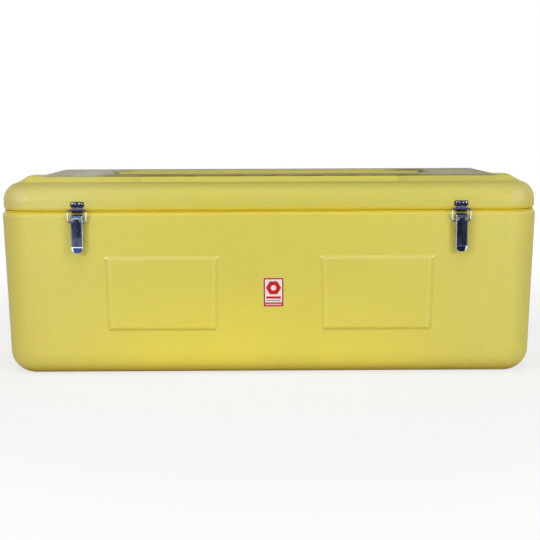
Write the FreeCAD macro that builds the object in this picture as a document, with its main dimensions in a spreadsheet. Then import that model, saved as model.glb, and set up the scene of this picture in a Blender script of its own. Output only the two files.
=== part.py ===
import FreeCAD, Part
import math
import os
import re
import Sketcher
from FreeCAD import Placement, Rotation, Vector

# Moulded plastic storage chest with a hinged lid and two toggle latches.
# Lengths are millimetres and angles are degrees.
# X runs along the front, Y from the front to the back and Z up.
# The origin is the middle of the base, where the chest stands.

document = FreeCAD.newDocument("storage_chest")
sheet = document.addObject("Spreadsheet::Sheet", "Sizes")

SIZES = {
    # the case, a single skin that narrows towards its foot
    "case_length": 1200.0,
    "case_depth": 500.0,
    "land_height": 368.0,
    "case_corner_radius": 75.0,
    "draft_angle": 2.0,
    "foot_radius": 52.0,
    "rim_radius": 10.0,
    "case_wall": 6.0,
    "land_width": 32.0,
    "lip_inset": 26.0,
    "lip_height": 12.0,
    "lip_radius": 2.5,
    # the two raised panels on the front of the case
    "panel_inner": 113.0,
    "panel_end": 235.0,
    "panel_drop": 98.5,
    "panel_height": 167.0,
    "panel_lean": 1.5,
    "panel_rise": 3.5,
    "panel_run": 7.0,
    "panel_corner": 6.0,
    "panel_edge": 5.0,
    "panel_foot_radius": 4.0,
    # the hand grips sunk into the two ends of the case
    "grip_length": 150.0,
    "grip_height": 52.0,
    "grip_depth": 34.0,
    "grip_drop": 90.0,
    "grip_corner": 18.0,
    "grip_edge": 4.0,
    "grip_floor_radius": 7.0,
    # the lid, a single skin with a raised ring and a return flange below
    "seam_gap": 1.6,
    "lid_height": 61.1,
    "lid_inset": 3.3,
    "lid_edge_radius": 38.0,
    "lid_heel_radius": 9.0,
    "lid_wall": 6.0,
    "flange_width": 23.0,
    "raised_end": 87.5,
    "raised_front": 75.0,
    "raised_height": 14.2,
    "raised_run": 25.0,
    "raised_corner": 34.0,
    "raised_edge": 7.0,
    "band_end": 59.0,
    "band_width": 60.0,
    "tray_end": 217.0,
    "tray_front": 165.0,
    "tray_corner": 26.0,
    "tray_run": 14.0,
    "tray_edge": 5.0,
    # the foam seal on the land of the case
    "seal_inset": 12.0,
    "seal_width": 8.0,
    "seal_clearance": 0.3,
    # the label on the front
    "label_width": 45.0,
    "label_height": 65.0,
    "label_offset": 8.5,
    "label_drop": 180.5,
    "label_corner": 1.5,
    "label_thickness": 0.3,
    # the toggle latches: base plate, lever, wire bail and keeper
    "latch_end": 178.3,
    "latch_drop": 12.0,
    "pivot_standoff": 10.5,
    "latch_sheet": 1.6,
    "base_thickness": 2.0,
    "base_width": 24.0,
    "base_top": 7.0,
    "base_bottom": 57.0,
    "base_corner": 3.0,
    "base_rivet_first": 20.0,
    "base_rivet_pitch": 25.0,
    "ear_radius": 3.2,
    "ear_round": 3.0,
    "ear_clearance": 0.5,
    "pivot_diameter": 4.0,
    "pivot_head_diameter": 7.0,
    "pivot_head_height": 1.1,
    "lever_width": 26.0,
    "lever_length": 76.0,
    "lever_top": 4.8,
    "lever_reach": 6.4,
    "lever_fold": 64.0,
    "lever_flare": 4.0,
    "lever_back": 5.5,
    "lever_full": 16.0,
    "lever_tail": 61.0,
    "lever_tail_reach": 0.5,
    "lever_nose_radius": 2.5,
    "lever_tip_radius": 8.0,
    "dish_side": 4.0,
    "dish_top": 3.0,
    "dish_bottom": 8.0,
    "dish_depth": 0.7,
    "dish_corner": 4.0,
    "bead_width": 5.0,
    "bead_corner": 2.2,
    "bead_top": 18.0,
    "bead_bottom": 45.0,
    "throw_radius": 10.5,
    "over_centre_angle": 8.0,
    "bail_wire": 4.5,
    "bail_width": 40.0,
    "bail_corner": 7.0,
    "bail_toe_radius": 5.7,
    "bail_side_gap": 0.5,
    "bail_end": 1.4,
    "bail_bar_height": 5.0,
    "bail_bar_standoff": 11.5,
    "keeper_height": 16.0,
    "keeper_sheet": 2.0,
    "keeper_lip": 1.6,
    "keeper_trough": 4.9,
    "keeper_width": 30.0,
    "keeper_rise": 6.5,
    "keeper_shoulder": 6.0,
    "keeper_neck": 21.0,
    "keeper_hook": 24.0,
    "hook_top": 8.5,
    "hook_bottom": 17.6,
    "hook_radius": 4.0,
    "hook_bore_radius": 2.2,
    "keeper_lobe": 4.2,
    "keeper_rivet_pitch": 15.0,
    # the three butt hinges at the back
    "hinge_end": 180.0,
    "hinge_width": 60.0,
    "hinge_standoff": 6.5,
    "hinge_rise": 0.8,
    "knuckle_diameter": 12.0,
    "knuckle_length": 20.0,
    "knuckle_gap": 0.3,
    "leaf_thickness": 2.0,
    "leaf_corner": 3.0,
    "leaf_relief": 7.0,
    "case_leaf_drop": 31.0,
    "case_leaf_rivets": 20.0,
    "lid_leaf_top": 27.0,
    "lid_leaf_rivets": 18.5,
    "hinge_rivet_pitch": 20.0,
    "hinge_pin_diameter": 5.0,
    "hinge_pin_head": 8.0,
    "hinge_pin_head_height": 1.6,
    "pin_clearance": 0.05,
    # rivets and the plates behind them
    "rivet_diameter": 4.8,
    "rivet_clearance": 0.1,
    "rivet_head": 10.0,
    "rivet_head_height": 2.2,
    "rivet_head_round": 1.6,
    "keeper_rivet_head": 12.0,
    "keeper_rivet_height": 3.0,
    "keeper_rivet_round": 2.5,
    "rivet_tail": 8.0,
    "rivet_tail_height": 2.5,
    "backing_thickness": 2.0,
    "backing_border": 6.0,
    # how far a cut runs past the face it opens
    "overrun": 2.0,
}

for row, (name, size) in enumerate(SIZES.items(), 1):
    sheet.set(f"A{row}", name)
    sheet.set(f"B{row}", str(size))
    sheet.setAlias(f"B{row}", name)
document.recompute()

# how close two positions have to be to count as the same place
SAME = 0.01

# an object that works out expressions of the sizes
reckoner = document.addObject("App::FeaturePython", "Reckoner")
reckoner.addProperty("App::PropertyFloat", "Result")


def tie(text):
    """Point each size named in an expression at its cell in the sheet."""
    return re.sub(r"[a-z][a-z_]+", lambda m: ("Sizes." + m[0]) if m[0] in SIZES else m[0], text)


def at(text):
    """The value that an expression of named sizes has now."""
    reckoner.setExpression("Result", tie(text))
    reckoner.recompute()
    return reckoner.Result


def bind(thing, field, text):
    thing.setExpression(field, tie(text))


def new_body(label):
    body = document.addObject("PartDesign::Body", label)
    body.Label = label
    return body


def new_sketch(body, role, name, depth="0", rise="0", tilt="0"):
    """A sketch on one of the body's own origin planes, moved along its normal and tilted."""
    planes = [plane for plane in body.Origin.OriginFeatures if plane.Role == role]
    sketch = body.newObject("Sketcher::SketchObject", name)
    sketch.AttachmentSupport = [(planes[0], "")]
    sketch.MapMode = "FlatFace"
    sketch.AttachmentOffset = Placement(Vector(), Rotation(Vector(1, 0, 0), at(tilt)))
    if tilt != "0":
        bind(sketch, "AttachmentOffset.Rotation.Angle", tilt)
    bind(sketch, "AttachmentOffset.Base.z", depth)
    bind(sketch, "AttachmentOffset.Base.y", rise)
    return sketch


def fix(sketch, kind, geometry, point, text):
    """Hold one point of a sketch at a distance from the sketch origin."""
    if text == "0":
        axis = {"DistanceX": -2, "DistanceY": -1}[kind]
        sketch.addConstraint(Sketcher.Constraint("PointOnObject", geometry, point, axis))
    else:
        rule = Sketcher.Constraint(kind, -1, 1, geometry, point, at(text))
        bind(sketch, f"Constraints[{sketch.addConstraint(rule)}]", text)


def polygon(sketch, points):
    corners = [Vector(at(x), at(y), 0) for x, y in points]
    lines = []
    for start, end in zip(corners, corners[1:] + corners[:1]):
        lines.append(sketch.addGeometry(Part.LineSegment(start, end), False))
    for line, following in zip(lines, lines[1:] + lines[:1]):
        sketch.addConstraint(Sketcher.Constraint("Coincident", line, 2, following, 1))
    for line, (x, y) in zip(lines, points):
        fix(sketch, "DistanceX", line, 1, x)
        fix(sketch, "DistanceY", line, 1, y)


def circle(sketch, x, y, diameter):
    ring = Part.Circle(Vector(at(x), at(y), 0), Vector(0, 0, 1), at(diameter) / 2)
    made = sketch.addGeometry(ring, False)
    fix(sketch, "DistanceX", made, 3, x)
    fix(sketch, "DistanceY", made, 3, y)
    rule = Sketcher.Constraint("Diameter", made, at(diameter))
    bind(sketch, f"Constraints[{sketch.addConstraint(rule)}]", diameter)


def arc(sketch, x, y, radius, start, end):
    """An arc from one angle to another, with its middle point still free."""
    ring = Part.Circle(Vector(x, y, 0), Vector(0, 0, 1), radius)
    return sketch.addGeometry(Part.ArcOfCircle(ring, math.radians(start), math.radians(end)), False)


def rounded_box(sketch, left, right, low, high, radius):
    """A rectangle between two X and two Y positions with round corners."""
    x0, x1, y0, y1, r = at(left), at(right), at(low), at(high), at(radius)
    ends = [
        (x0 + r, y0, x1 - r, y0),
        (x1, y0 + r, x1, y1 - r),
        (x1 - r, y1, x0 + r, y1),
        (x0, y1 - r, x0, y0 + r),
    ]
    middles = [(x1 - r, y0 + r), (x1 - r, y1 - r), (x0 + r, y1 - r), (x0 + r, y0 + r)]
    lines = []
    for a, b, c, d in ends:
        lines.append(sketch.addGeometry(Part.LineSegment(Vector(a, b, 0), Vector(c, d, 0)), False))
    arcs = []
    for quarter, (x, y) in enumerate(middles):
        arcs.append(arc(sketch, x, y, r, 90 * quarter - 90, 90 * quarter))
    for i in range(4):
        sketch.addConstraint(Sketcher.Constraint("Tangent", lines[i], 2, arcs[i], 1))
        sketch.addConstraint(Sketcher.Constraint("Tangent", arcs[i], 2, lines[(i + 1) % 4], 1))
    for i in (1, 2, 3):
        sketch.addConstraint(Sketcher.Constraint("Equal", arcs[0], arcs[i]))
    for kind, i in (("Horizontal", 0), ("Horizontal", 2), ("Vertical", 1), ("Vertical", 3)):
        sketch.addConstraint(Sketcher.Constraint(kind, lines[i]))
    fix(sketch, "DistanceX", lines[3], 1, left)
    fix(sketch, "DistanceX", lines[1], 1, right)
    fix(sketch, "DistanceY", lines[0], 1, low)
    fix(sketch, "DistanceY", lines[2], 1, high)
    rule = Sketcher.Constraint("Radius", arcs[0], r)
    bind(sketch, f"Constraints[{sketch.addConstraint(rule)}]", radius)


def outer_corner(sketch, half_x, low, radius, side):
    """The region outside a round lower corner, on one side of the sketch's Y axis."""
    sign = "-" if side < 0 else ""
    edge, foot, r = side * at(half_x), at(low), at(radius)
    points = [
        (f"{sign}({half_x})", f"{low} + {radius}"),
        (f"{sign}({half_x} + overrun)", f"{low} + {radius}"),
        (f"{sign}({half_x} + overrun)", f"{low} - overrun"),
        (f"{sign}({half_x} - {radius})", f"{low} - overrun"),
        (f"{sign}({half_x} - {radius})", low),
    ]
    corners = [Vector(at(x), at(y), 0) for x, y in points]
    lines = []
    for start, end in zip(corners, corners[1:]):
        lines.append(sketch.addGeometry(Part.LineSegment(start, end), False))
    for line, following in zip(lines, lines[1:]):
        sketch.addConstraint(Sketcher.Constraint("Coincident", line, 2, following, 1))
    for line, (x, y) in zip(lines, points):
        fix(sketch, "DistanceX", line, 1, x)
        fix(sketch, "DistanceY", line, 1, y)
    fix(sketch, "DistanceX", lines[-1], 2, points[-1][0])
    fix(sketch, "DistanceY", lines[-1], 2, points[-1][1])
    start, end = (270, 360) if side > 0 else (180, 270)
    curve = arc(sketch, edge - side * r, foot + r, r, start, end)
    first, last = (2, 1) if side > 0 else (1, 2)
    sketch.addConstraint(Sketcher.Constraint("Coincident", curve, first, lines[0], 1))
    sketch.addConstraint(Sketcher.Constraint("Coincident", curve, last, lines[-1], 2))
    rule = Sketcher.Constraint("Radius", curve, r)
    bind(sketch, f"Constraints[{sketch.addConstraint(rule)}]", radius)


def centred_box(sketch, half_x, half_y, radius):
    """A rectangle with round corners about the sketch origin."""
    rounded_box(sketch, f"-({half_x})", half_x, f"-({half_y})", half_y, radius)


def extrude(body, kind, sketch, name, length, taper=None, back=False, middle=False):
    """A pad or a pocket, which may narrow at a taper angle."""
    feature = body.newObject("PartDesign::" + kind, name)
    feature.Profile = sketch
    bind(feature, "Length", length)
    feature.Reversed = back
    if middle:
        feature.Midplane = True
    if taper:
        bind(feature, "TaperAngle", taper)
    document.recompute()
    return feature


def fillet(body, name, radius, chosen):
    """Round the edges of the body that a test on the edge chooses."""
    base = body.Tip
    names = [f"Edge{i}" for i, edge in enumerate(base.Shape.Edges, 1) if chosen(edge)]
    feature = body.newObject("PartDesign::Fillet", name)
    feature.Base = (base, names)
    bind(feature, "Radius", radius)
    document.recompute()
    return feature


def level(height):
    """Chooses the edges that lie in one horizontal plane."""
    z = at(height)
    return lambda e: abs(e.BoundBox.ZMin - z) < SAME and abs(e.BoundBox.ZMax - z) < SAME


def inside(edge, x=None, y=None, z=None):
    """Whether an edge's box lies within the given ranges."""
    box = edge.BoundBox
    spans = ((x, box.XMin, box.XMax), (y, box.YMin, box.YMax), (z, box.ZMin, box.ZMax))
    return all(r is None or (low > r[0] - SAME and high < r[1] + SAME) for r, low, high in spans)


# the leaning planes of the front and the back of the case, with their origins at the land
TURN_X = Vector(1, 0, 0)
draft = at("draft_angle")
front_face = Placement(Vector(0, at("-case_depth / 2"), at("land_height")), Rotation(TURN_X, draft))
lid_face = Placement(Vector(0, at("-case_depth / 2"), at("land_height")), Rotation())

half_length = "case_length / 2"
half_depth = "case_depth / 2"
slope = "tan(draft_angle)"
hinge_places = [f"-({half_length} - hinge_end)", "0", f"({half_length} - hinge_end)"]
hinge_rivets = ["-hinge_rivet_pitch", "0", "hinge_rivet_pitch"]
latch_places = {"left": f"-({half_length} - latch_end)", "right": f"({half_length} - latch_end)"}
rivet_hole = "rivet_diameter + 2 * rivet_clearance"

# the hinge axis lies behind the back wall at the seam, and the case leaf leans with the wall
axis_height = "land_height + hinge_rise"
axis_depth = "case_depth / 2 + hinge_standoff"
leaf_reach = "hinge_standoff * cos(draft_angle) - hinge_rise * sin(draft_angle)"
leaf_slide = "hinge_standoff * sin(draft_angle) + hinge_rise * cos(draft_angle)"

# the case: a leaning block, hollowed below its top, then rounded, with a lip round its mouth
case = new_body("case_shell")
sketch = new_sketch(case, "XY_Plane", "case_rim", "land_height")
centred_box(sketch, half_length, half_depth, "case_corner_radius")
extrude(case, "Pad", sketch, "case_block", "land_height", "-draft_angle", back=True)
skin = f"case_wall * (1 + {slope})"
sketch = new_sketch(case, "XY_Plane", "hollow_outline", "land_height - case_wall")
centred_box(
    sketch, f"{half_length} - {skin}", f"{half_depth} - {skin}", "case_corner_radius - case_wall"
)
extrude(case, "Pocket", sketch, "hollow", "land_height - 2 * case_wall", "-draft_angle")
fillet(case, "hollow_floor", "foot_radius - case_wall", level("case_wall"))
fillet(case, "case_foot", "foot_radius", level("0"))
fillet(case, "case_rim_rounding", "rim_radius", level("land_height"))
sketch = new_sketch(case, "XY_Plane", "lip_outline", "land_height")
centred_box(
    sketch,
    f"{half_length} - lip_inset",
    f"{half_depth} - lip_inset",
    "case_corner_radius - lip_inset",
)
extrude(case, "Pad", sketch, "lip_block", "lip_height")
sketch = new_sketch(case, "XY_Plane", "mouth_outline", "land_height + lip_height")
centred_box(
    sketch,
    f"{half_length} - land_width",
    f"{half_depth} - land_width",
    "case_corner_radius - land_width",
)
extrude(case, "Pocket", sketch, "mouth", "lip_height + case_wall")
fillet(case, "lip_rounding", "lip_radius", level("land_height + lip_height"))

# the raised panels lie on the leaning front, with sloping borders and edges that lean in
sketch = new_sketch(case, "XZ_Plane", "panel_outline", half_depth, "land_height", "draft_angle")
panel_foot = "panel_drop + panel_height"
panel_outer = f"({half_length} - panel_end)"
panel_inset = "panel_height * tan(panel_lean)"
for side in ("-", ""):
    polygon(
        sketch,
        [
            (f"{side}panel_inner", "-panel_drop"),
            (f"{side}{panel_outer}", "-panel_drop"),
            (f"{side}({panel_outer} - {panel_inset})", f"-({panel_foot})"),
            (f"{side}(panel_inner + {panel_inset})", f"-({panel_foot})"),
        ],
    )
extrude(case, "Pad", sketch, "panels", "panel_rise", "-atan(panel_run / panel_rise)")


def proud(edge):
    """How far each end of an edge stands out of the leaning front face."""
    return [-(front_face.inverse().multVec(v.Point)).y for v in edge.Vertexes]


def panel_corner_edge(edge):
    out = proud(edge)
    return len(out) == 2 and abs(abs(out[0] - out[1]) - at("panel_rise")) < SAME and min(out) > -SAME


def panel_face_edge(edge):
    out = proud(edge)
    return len(out) == 2 and all(abs(o - at("panel_rise")) < SAME for o in out)


def panel_foot_edge(edge):
    out = proud(edge)
    middle = edge.BoundBox.Center
    return (
        len(out) == 2
        and all(abs(o) < SAME for o in out)
        and at("panel_inner") - SAME < abs(middle.x) < at(panel_outer) + SAME
        and at(f"land_height - ({panel_foot})") - SAME < middle.z < at("land_height - panel_drop / 2")
    )


fillet(case, "panel_corners", "panel_corner", panel_corner_edge)
fillet(case, "panel_edges", "panel_edge", panel_face_edge)
fillet(case, "panel_feet", "panel_foot_radius", panel_foot_edge)

# each grip is a box standing on the inside of the end wall, then hollowed from outside
grip_wall = f"grip_drop * {slope} + case_wall / 2"


def grip_mouth_edge(edge):
    """An edge of a grip that lies on the leaning end wall and isn't rounded yet."""
    tall = (at("(land_height - grip_drop) - grip_height / 2"), at("(land_height - grip_drop) + grip_height / 2"))
    wide = (at("-grip_length / 2"), at("grip_length / 2"))
    for vertex in edge.Vertexes:
        wall = at(half_length) - (at("land_height") - vertex.Z) * math.tan(math.radians(draft))
        if abs(abs(vertex.X) - wall) > SAME:
            return False
    return inside(edge, y=wide, z=tall)


for side, sign, back in (("right", "", False), ("left", "-", True)):
    sketch = new_sketch(
        case, "YZ_Plane", side + "_grip_boss", f"{sign}(case_length / 2 - grip_depth - case_wall)"
    )
    rounded_box(
        sketch,
        "-(grip_length / 2 + case_wall)",
        "grip_length / 2 + case_wall",
        "(land_height - grip_drop) - grip_height / 2 - case_wall",
        "(land_height - grip_drop) + grip_height / 2 + case_wall",
        "grip_corner + case_wall",
    )
    boss_length = f"grip_depth + case_wall - ({grip_wall})"
    extrude(case, "Pad", sketch, side + "_grip_box", boss_length, back=back)
    sketch = new_sketch(case, "YZ_Plane", side + "_grip_outline", f"{sign}case_length / 2")
    rounded_box(
        sketch,
        "-grip_length / 2",
        "grip_length / 2",
        "(land_height - grip_drop) - grip_height / 2",
        "(land_height - grip_drop) + grip_height / 2",
        "grip_corner",
    )
    extrude(case, "Pocket", sketch, side + "_grip", "grip_depth", back=back)
    floor = at(f"{sign}(case_length / 2 - grip_depth)")
    span = (floor, floor)
    height = (at("(land_height - grip_drop) - grip_height"), at("(land_height - grip_drop) + grip_height"))
    fillet(
        case,
        side + "_grip_floor",
        "grip_floor_radius",
        lambda e, span=span: inside(e, x=span, z=height),
    )
    fillet(case, side + "_grip_mouth", "grip_edge", grip_mouth_edge)

# rivet holes through the front wall for the latches and through the back wall for the hinges
sketch = new_sketch(case, "XZ_Plane", "latch_holes", half_depth, "land_height", "draft_angle")
for place in latch_places.values():
    for drop in ("base_rivet_first", "base_rivet_first + base_rivet_pitch"):
        circle(sketch, place, f"-(latch_drop + {drop})", rivet_hole)
extrude(case, "Pocket", sketch, "latch_rivet_holes", "2 * case_wall")
sketch = new_sketch(
    case, "XZ_Plane", "hinge_holes", "-" + half_depth, "land_height", "-draft_angle"
)
for place in hinge_places:
    for rivet in hinge_rivets:
        circle(sketch, f"{place} + {rivet}", f"{leaf_slide} - case_leaf_rivets", rivet_hole)
extrude(case, "Pocket", sketch, "hinge_rivet_holes", "2 * case_wall", back=True)

# the lid: a block hollowed from below, then rounded, with a raised ring round a shallow tray
lid = new_body("lid_shell")
lid_low = "land_height + seam_gap"
crest = f"{lid_low} + lid_height"
lid_top = f"{crest} + raised_height"
lid_x = f"({half_length} - lid_inset)"
sketch = new_sketch(lid, "XY_Plane", "lid_outline", lid_low)
centred_box(sketch, lid_x, half_depth, "case_corner_radius")
extrude(lid, "Pad", sketch, "lid_block", "lid_height")
sketch = new_sketch(lid, "XY_Plane", "lid_hollow_outline", f"{lid_low} + lid_wall")
centred_box(
    sketch, f"{lid_x} - lid_wall", f"{half_depth} - lid_wall", "case_corner_radius - lid_wall"
)
extrude(lid, "Pocket", sketch, "lid_hollow", "lid_height - 2 * lid_wall", back=True)
fillet(lid, "lid_hollow_edge", "lid_edge_radius - lid_wall", level(f"{crest} - lid_wall"))
fillet(lid, "lid_heel", "lid_heel_radius", level(lid_low))
fillet(lid, "lid_edge", "lid_edge_radius", level(crest))

# the raised ring slopes up from the crest, and its front band is longer
raised_taper = "-atan(raised_run / raised_height)"
raised_x = f"({half_length} - raised_end + raised_run)"
raised_y = f"({half_depth} - raised_front + raised_run)"
sketch = new_sketch(lid, "XY_Plane", "raised_outline", crest)
centred_box(sketch, raised_x, raised_y, "raised_corner")
extrude(lid, "Pad", sketch, "raised_block", "raised_height", raised_taper)
band_x = f"({half_length} - band_end + raised_run)"
band_y = f"({half_depth} - raised_front - band_width - raised_run)"
sketch = new_sketch(lid, "XY_Plane", "front_band_outline", crest)
rounded_box(sketch, f"-{band_x}", band_x, f"-{raised_y}", f"-{band_y}", "raised_corner")
extrude(lid, "Pad", sketch, "front_band", "raised_height", raised_taper)
sketch = new_sketch(lid, "XY_Plane", "raised_hollow_outline", f"{crest} - lid_wall")
centred_box(
    sketch,
    f"{raised_x} - lid_wall / 2",
    f"{raised_y} - lid_wall / 2",
    "raised_corner - lid_wall / 2",
)
extrude(lid, "Pocket", sketch, "raised_hollow", "raised_height", raised_taper, back=True)
sketch = new_sketch(lid, "XY_Plane", "lid_mouth_outline", lid_low)
centred_box(
    sketch,
    f"{half_length} - flange_width",
    f"{half_depth} - flange_width",
    "case_corner_radius - flange_width",
)
extrude(lid, "Pocket", sketch, "lid_mouth", "lid_wall", back=True)

# the tray: its skin below, then the hollow from above
tray_x = f"({half_length} - tray_end)"
tray_y = f"({half_depth} - tray_front)"
sketch = new_sketch(lid, "XY_Plane", "tray_skin_outline", lid_top)
centred_box(sketch, f"{tray_x} + lid_wall", f"{tray_y} + lid_wall", "tray_corner + lid_wall")
tray_deep = "raised_height + lid_wall"
tray_taper = "-atan(tray_run / raised_height)"
extrude(lid, "Pad", sketch, "tray_skin", tray_deep, tray_taper, back=True)
sketch = new_sketch(lid, "XY_Plane", "tray_outline", lid_top)
centred_box(sketch, tray_x, tray_y, "tray_corner")
extrude(lid, "Pocket", sketch, "tray", "raised_height", tray_taper)


def tray_edge(edge):
    across = (at(f"-{tray_x}"), at(tray_x))
    along = (at(f"-{tray_y}"), at(tray_y))
    return level(lid_top)(edge) and inside(edge, across, along)


fillet(lid, "raised_edges", "raised_edge", lambda e: level(lid_top)(e) and not tray_edge(e))
fillet(lid, "tray_edges", "tray_edge", tray_edge)

sketch = new_sketch(lid, "XZ_Plane", "keeper_holes", half_depth)
for place in latch_places.values():
    for shift in ("-keeper_rivet_pitch / 2", "keeper_rivet_pitch / 2"):
        circle(sketch, f"{place} + {shift}", "land_height + keeper_height", rivet_hole)
extrude(lid, "Pocket", sketch, "keeper_rivet_holes", "2 * lid_wall")
sketch = new_sketch(lid, "XZ_Plane", "lid_hinge_holes", "-" + half_depth)
for place in hinge_places:
    for rivet in hinge_rivets:
        circle(sketch, f"{place} + {rivet}", f"{axis_height} + lid_leaf_rivets", rivet_hole)
extrude(lid, "Pocket", sketch, "lid_hinge_rivet_holes", "2 * lid_wall", back=True)

# the foam seal is a flat ring on the land, a clearance lower than the seam
seal = new_body("lid_seal")
sketch = new_sketch(seal, "XY_Plane", "seal_outline", "land_height")
for inset in ("seal_inset", "seal_inset + seal_width"):
    rounded_box(
        sketch,
        f"-(case_length / 2 - ({inset}))",
        f"case_length / 2 - ({inset})",
        f"-(case_depth / 2 - ({inset}))",
        f"case_depth / 2 - ({inset})",
        f"case_corner_radius - ({inset})",
    )
extrude(seal, "Pad", sketch, "seal_ring", "seam_gap - seal_clearance")

label = new_body("front_label")
sketch = new_sketch(label, "XZ_Plane", "label_outline")
rounded_box(
    sketch,
    "-label_width / 2",
    "label_width / 2",
    "-label_height / 2",
    "label_height / 2",
    "label_corner",
)
extrude(label, "Pad", sketch, "label_sheet", "label_thickness")
label.Placement = front_face * Placement(Vector(at("label_offset"), 0, at("-label_drop")), Rotation())


def turned(label_text, points):
    """A solid of revolution about its own Z axis, from radius and height points."""
    body = new_body(label_text)
    outline = new_sketch(body, "XZ_Plane", label_text + "_outline")
    polygon(outline, points)
    feature = body.newObject("PartDesign::Revolution", label_text + "_turning")
    feature.Profile = outline
    feature.ReferenceAxis = (outline, ["V_Axis"])
    feature.Angle = 360.0
    document.recompute()
    return body


def rivet(label_text, head, head_height, head_round, grip):
    """A domed rivet along Z: head outside, shank through the stack, formed tail inside."""
    body = turned(
        label_text,
        [
            ("0", head_height),
            (f"{head} / 2", head_height),
            (f"{head} / 2", "0"),
            ("rivet_diameter / 2", "0"),
            ("rivet_diameter / 2", f"-({grip})"),
            ("rivet_tail / 2", f"-({grip})"),
            ("rivet_tail / 2", f"-({grip} + rivet_tail_height)"),
            ("0", f"-({grip} + rivet_tail_height)"),
        ],
    )
    fillet(body, label_text + "_dome", head_round, level(head_height))
    return body


def group(label_text, pattern, places):
    """Copies of one solid at several placements, kept as one piece group."""
    copies = []
    for number, place in enumerate(places, 1):
        copy = document.addObject("App::Link", f"{label_text}_{number}")
        copy.LinkedObject = pattern
        copy.LinkTransform = False
        copy.Placement = place
        copies.append(copy)
    bundle = document.addObject("Part::Compound", label_text)
    bundle.Label = label_text
    bundle.Links = copies
    document.recompute()
    return bundle


def plate(label_text, width, low, high, corner, thickness, holes, inward=False):
    """A flat plate in the XZ plane with rivet holes, thick towards the front."""
    body = new_body(label_text)
    outline = new_sketch(body, "XZ_Plane", label_text + "_outline")
    rounded_box(outline, f"-({width}) / 2", f"({width}) / 2", low, high, corner)
    for x, y in holes:
        circle(outline, x, y, rivet_hole)
    extrude(body, "Pad", outline, label_text + "_sheet", thickness, back=inward)
    return body


# rivets point their heads away from the chest: local Z turns to the front or to the back
HEAD_FRONT = Rotation(TURN_X, 90)
HEAD_BACK = Rotation(TURN_X, -90)
latch_rivet = rivet(
    "latch_rivet",
    "rivet_head",
    "rivet_head_height",
    "rivet_head_round",
    "base_thickness + case_wall * cos(draft_angle) + backing_thickness",
)
keeper_rivet = rivet(
    "keeper_rivet",
    "keeper_rivet_head",
    "keeper_rivet_height",
    "keeper_rivet_round",
    "keeper_sheet + lid_wall + backing_thickness",
)
case_hinge_rivet = rivet(
    "case_hinge_rivet",
    "rivet_head",
    "rivet_head_height",
    "rivet_head_round",
    "leaf_thickness + case_wall * cos(draft_angle) + backing_thickness",
)
lid_hinge_rivet = rivet(
    "lid_hinge_rivet",
    "rivet_head",
    "rivet_head_height",
    "rivet_head_round",
    "leaf_thickness + lid_wall + backing_thickness",
)

case_skin = "case_wall * cos(draft_angle)"
base_rivet_drops = ["base_rivet_first", "base_rivet_first + base_rivet_pitch"]
keeper_level = at("keeper_height")
parts = [case, lid, seal, label]

# the bail turns in the lever just inside the line from its bar to the pivot, so it stays shut
bail_pin_y = "(throw_radius * sin(over_centre_angle))"
bail_pin_z = "(-throw_radius * cos(over_centre_angle))"
pin_out = f"({bail_pin_y} - pivot_standoff)"
pin_up = f"({bail_pin_z} - latch_drop)"
pin_depth = f"({pin_out} * cos(draft_angle) - {pin_up} * sin(draft_angle))"
pin_level = f"({pin_out} * sin(draft_angle) + {pin_up} * cos(draft_angle))"
bail_run = f"(bail_bar_standoff + {pin_depth})"
bail_rise = f"(bail_bar_height - {pin_level})"
bail_length = f"sqrt({bail_run} ^ 2 + {bail_rise} ^ 2)"
wire_end = "(lever_width / 2 - latch_sheet - bail_end)"


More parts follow.
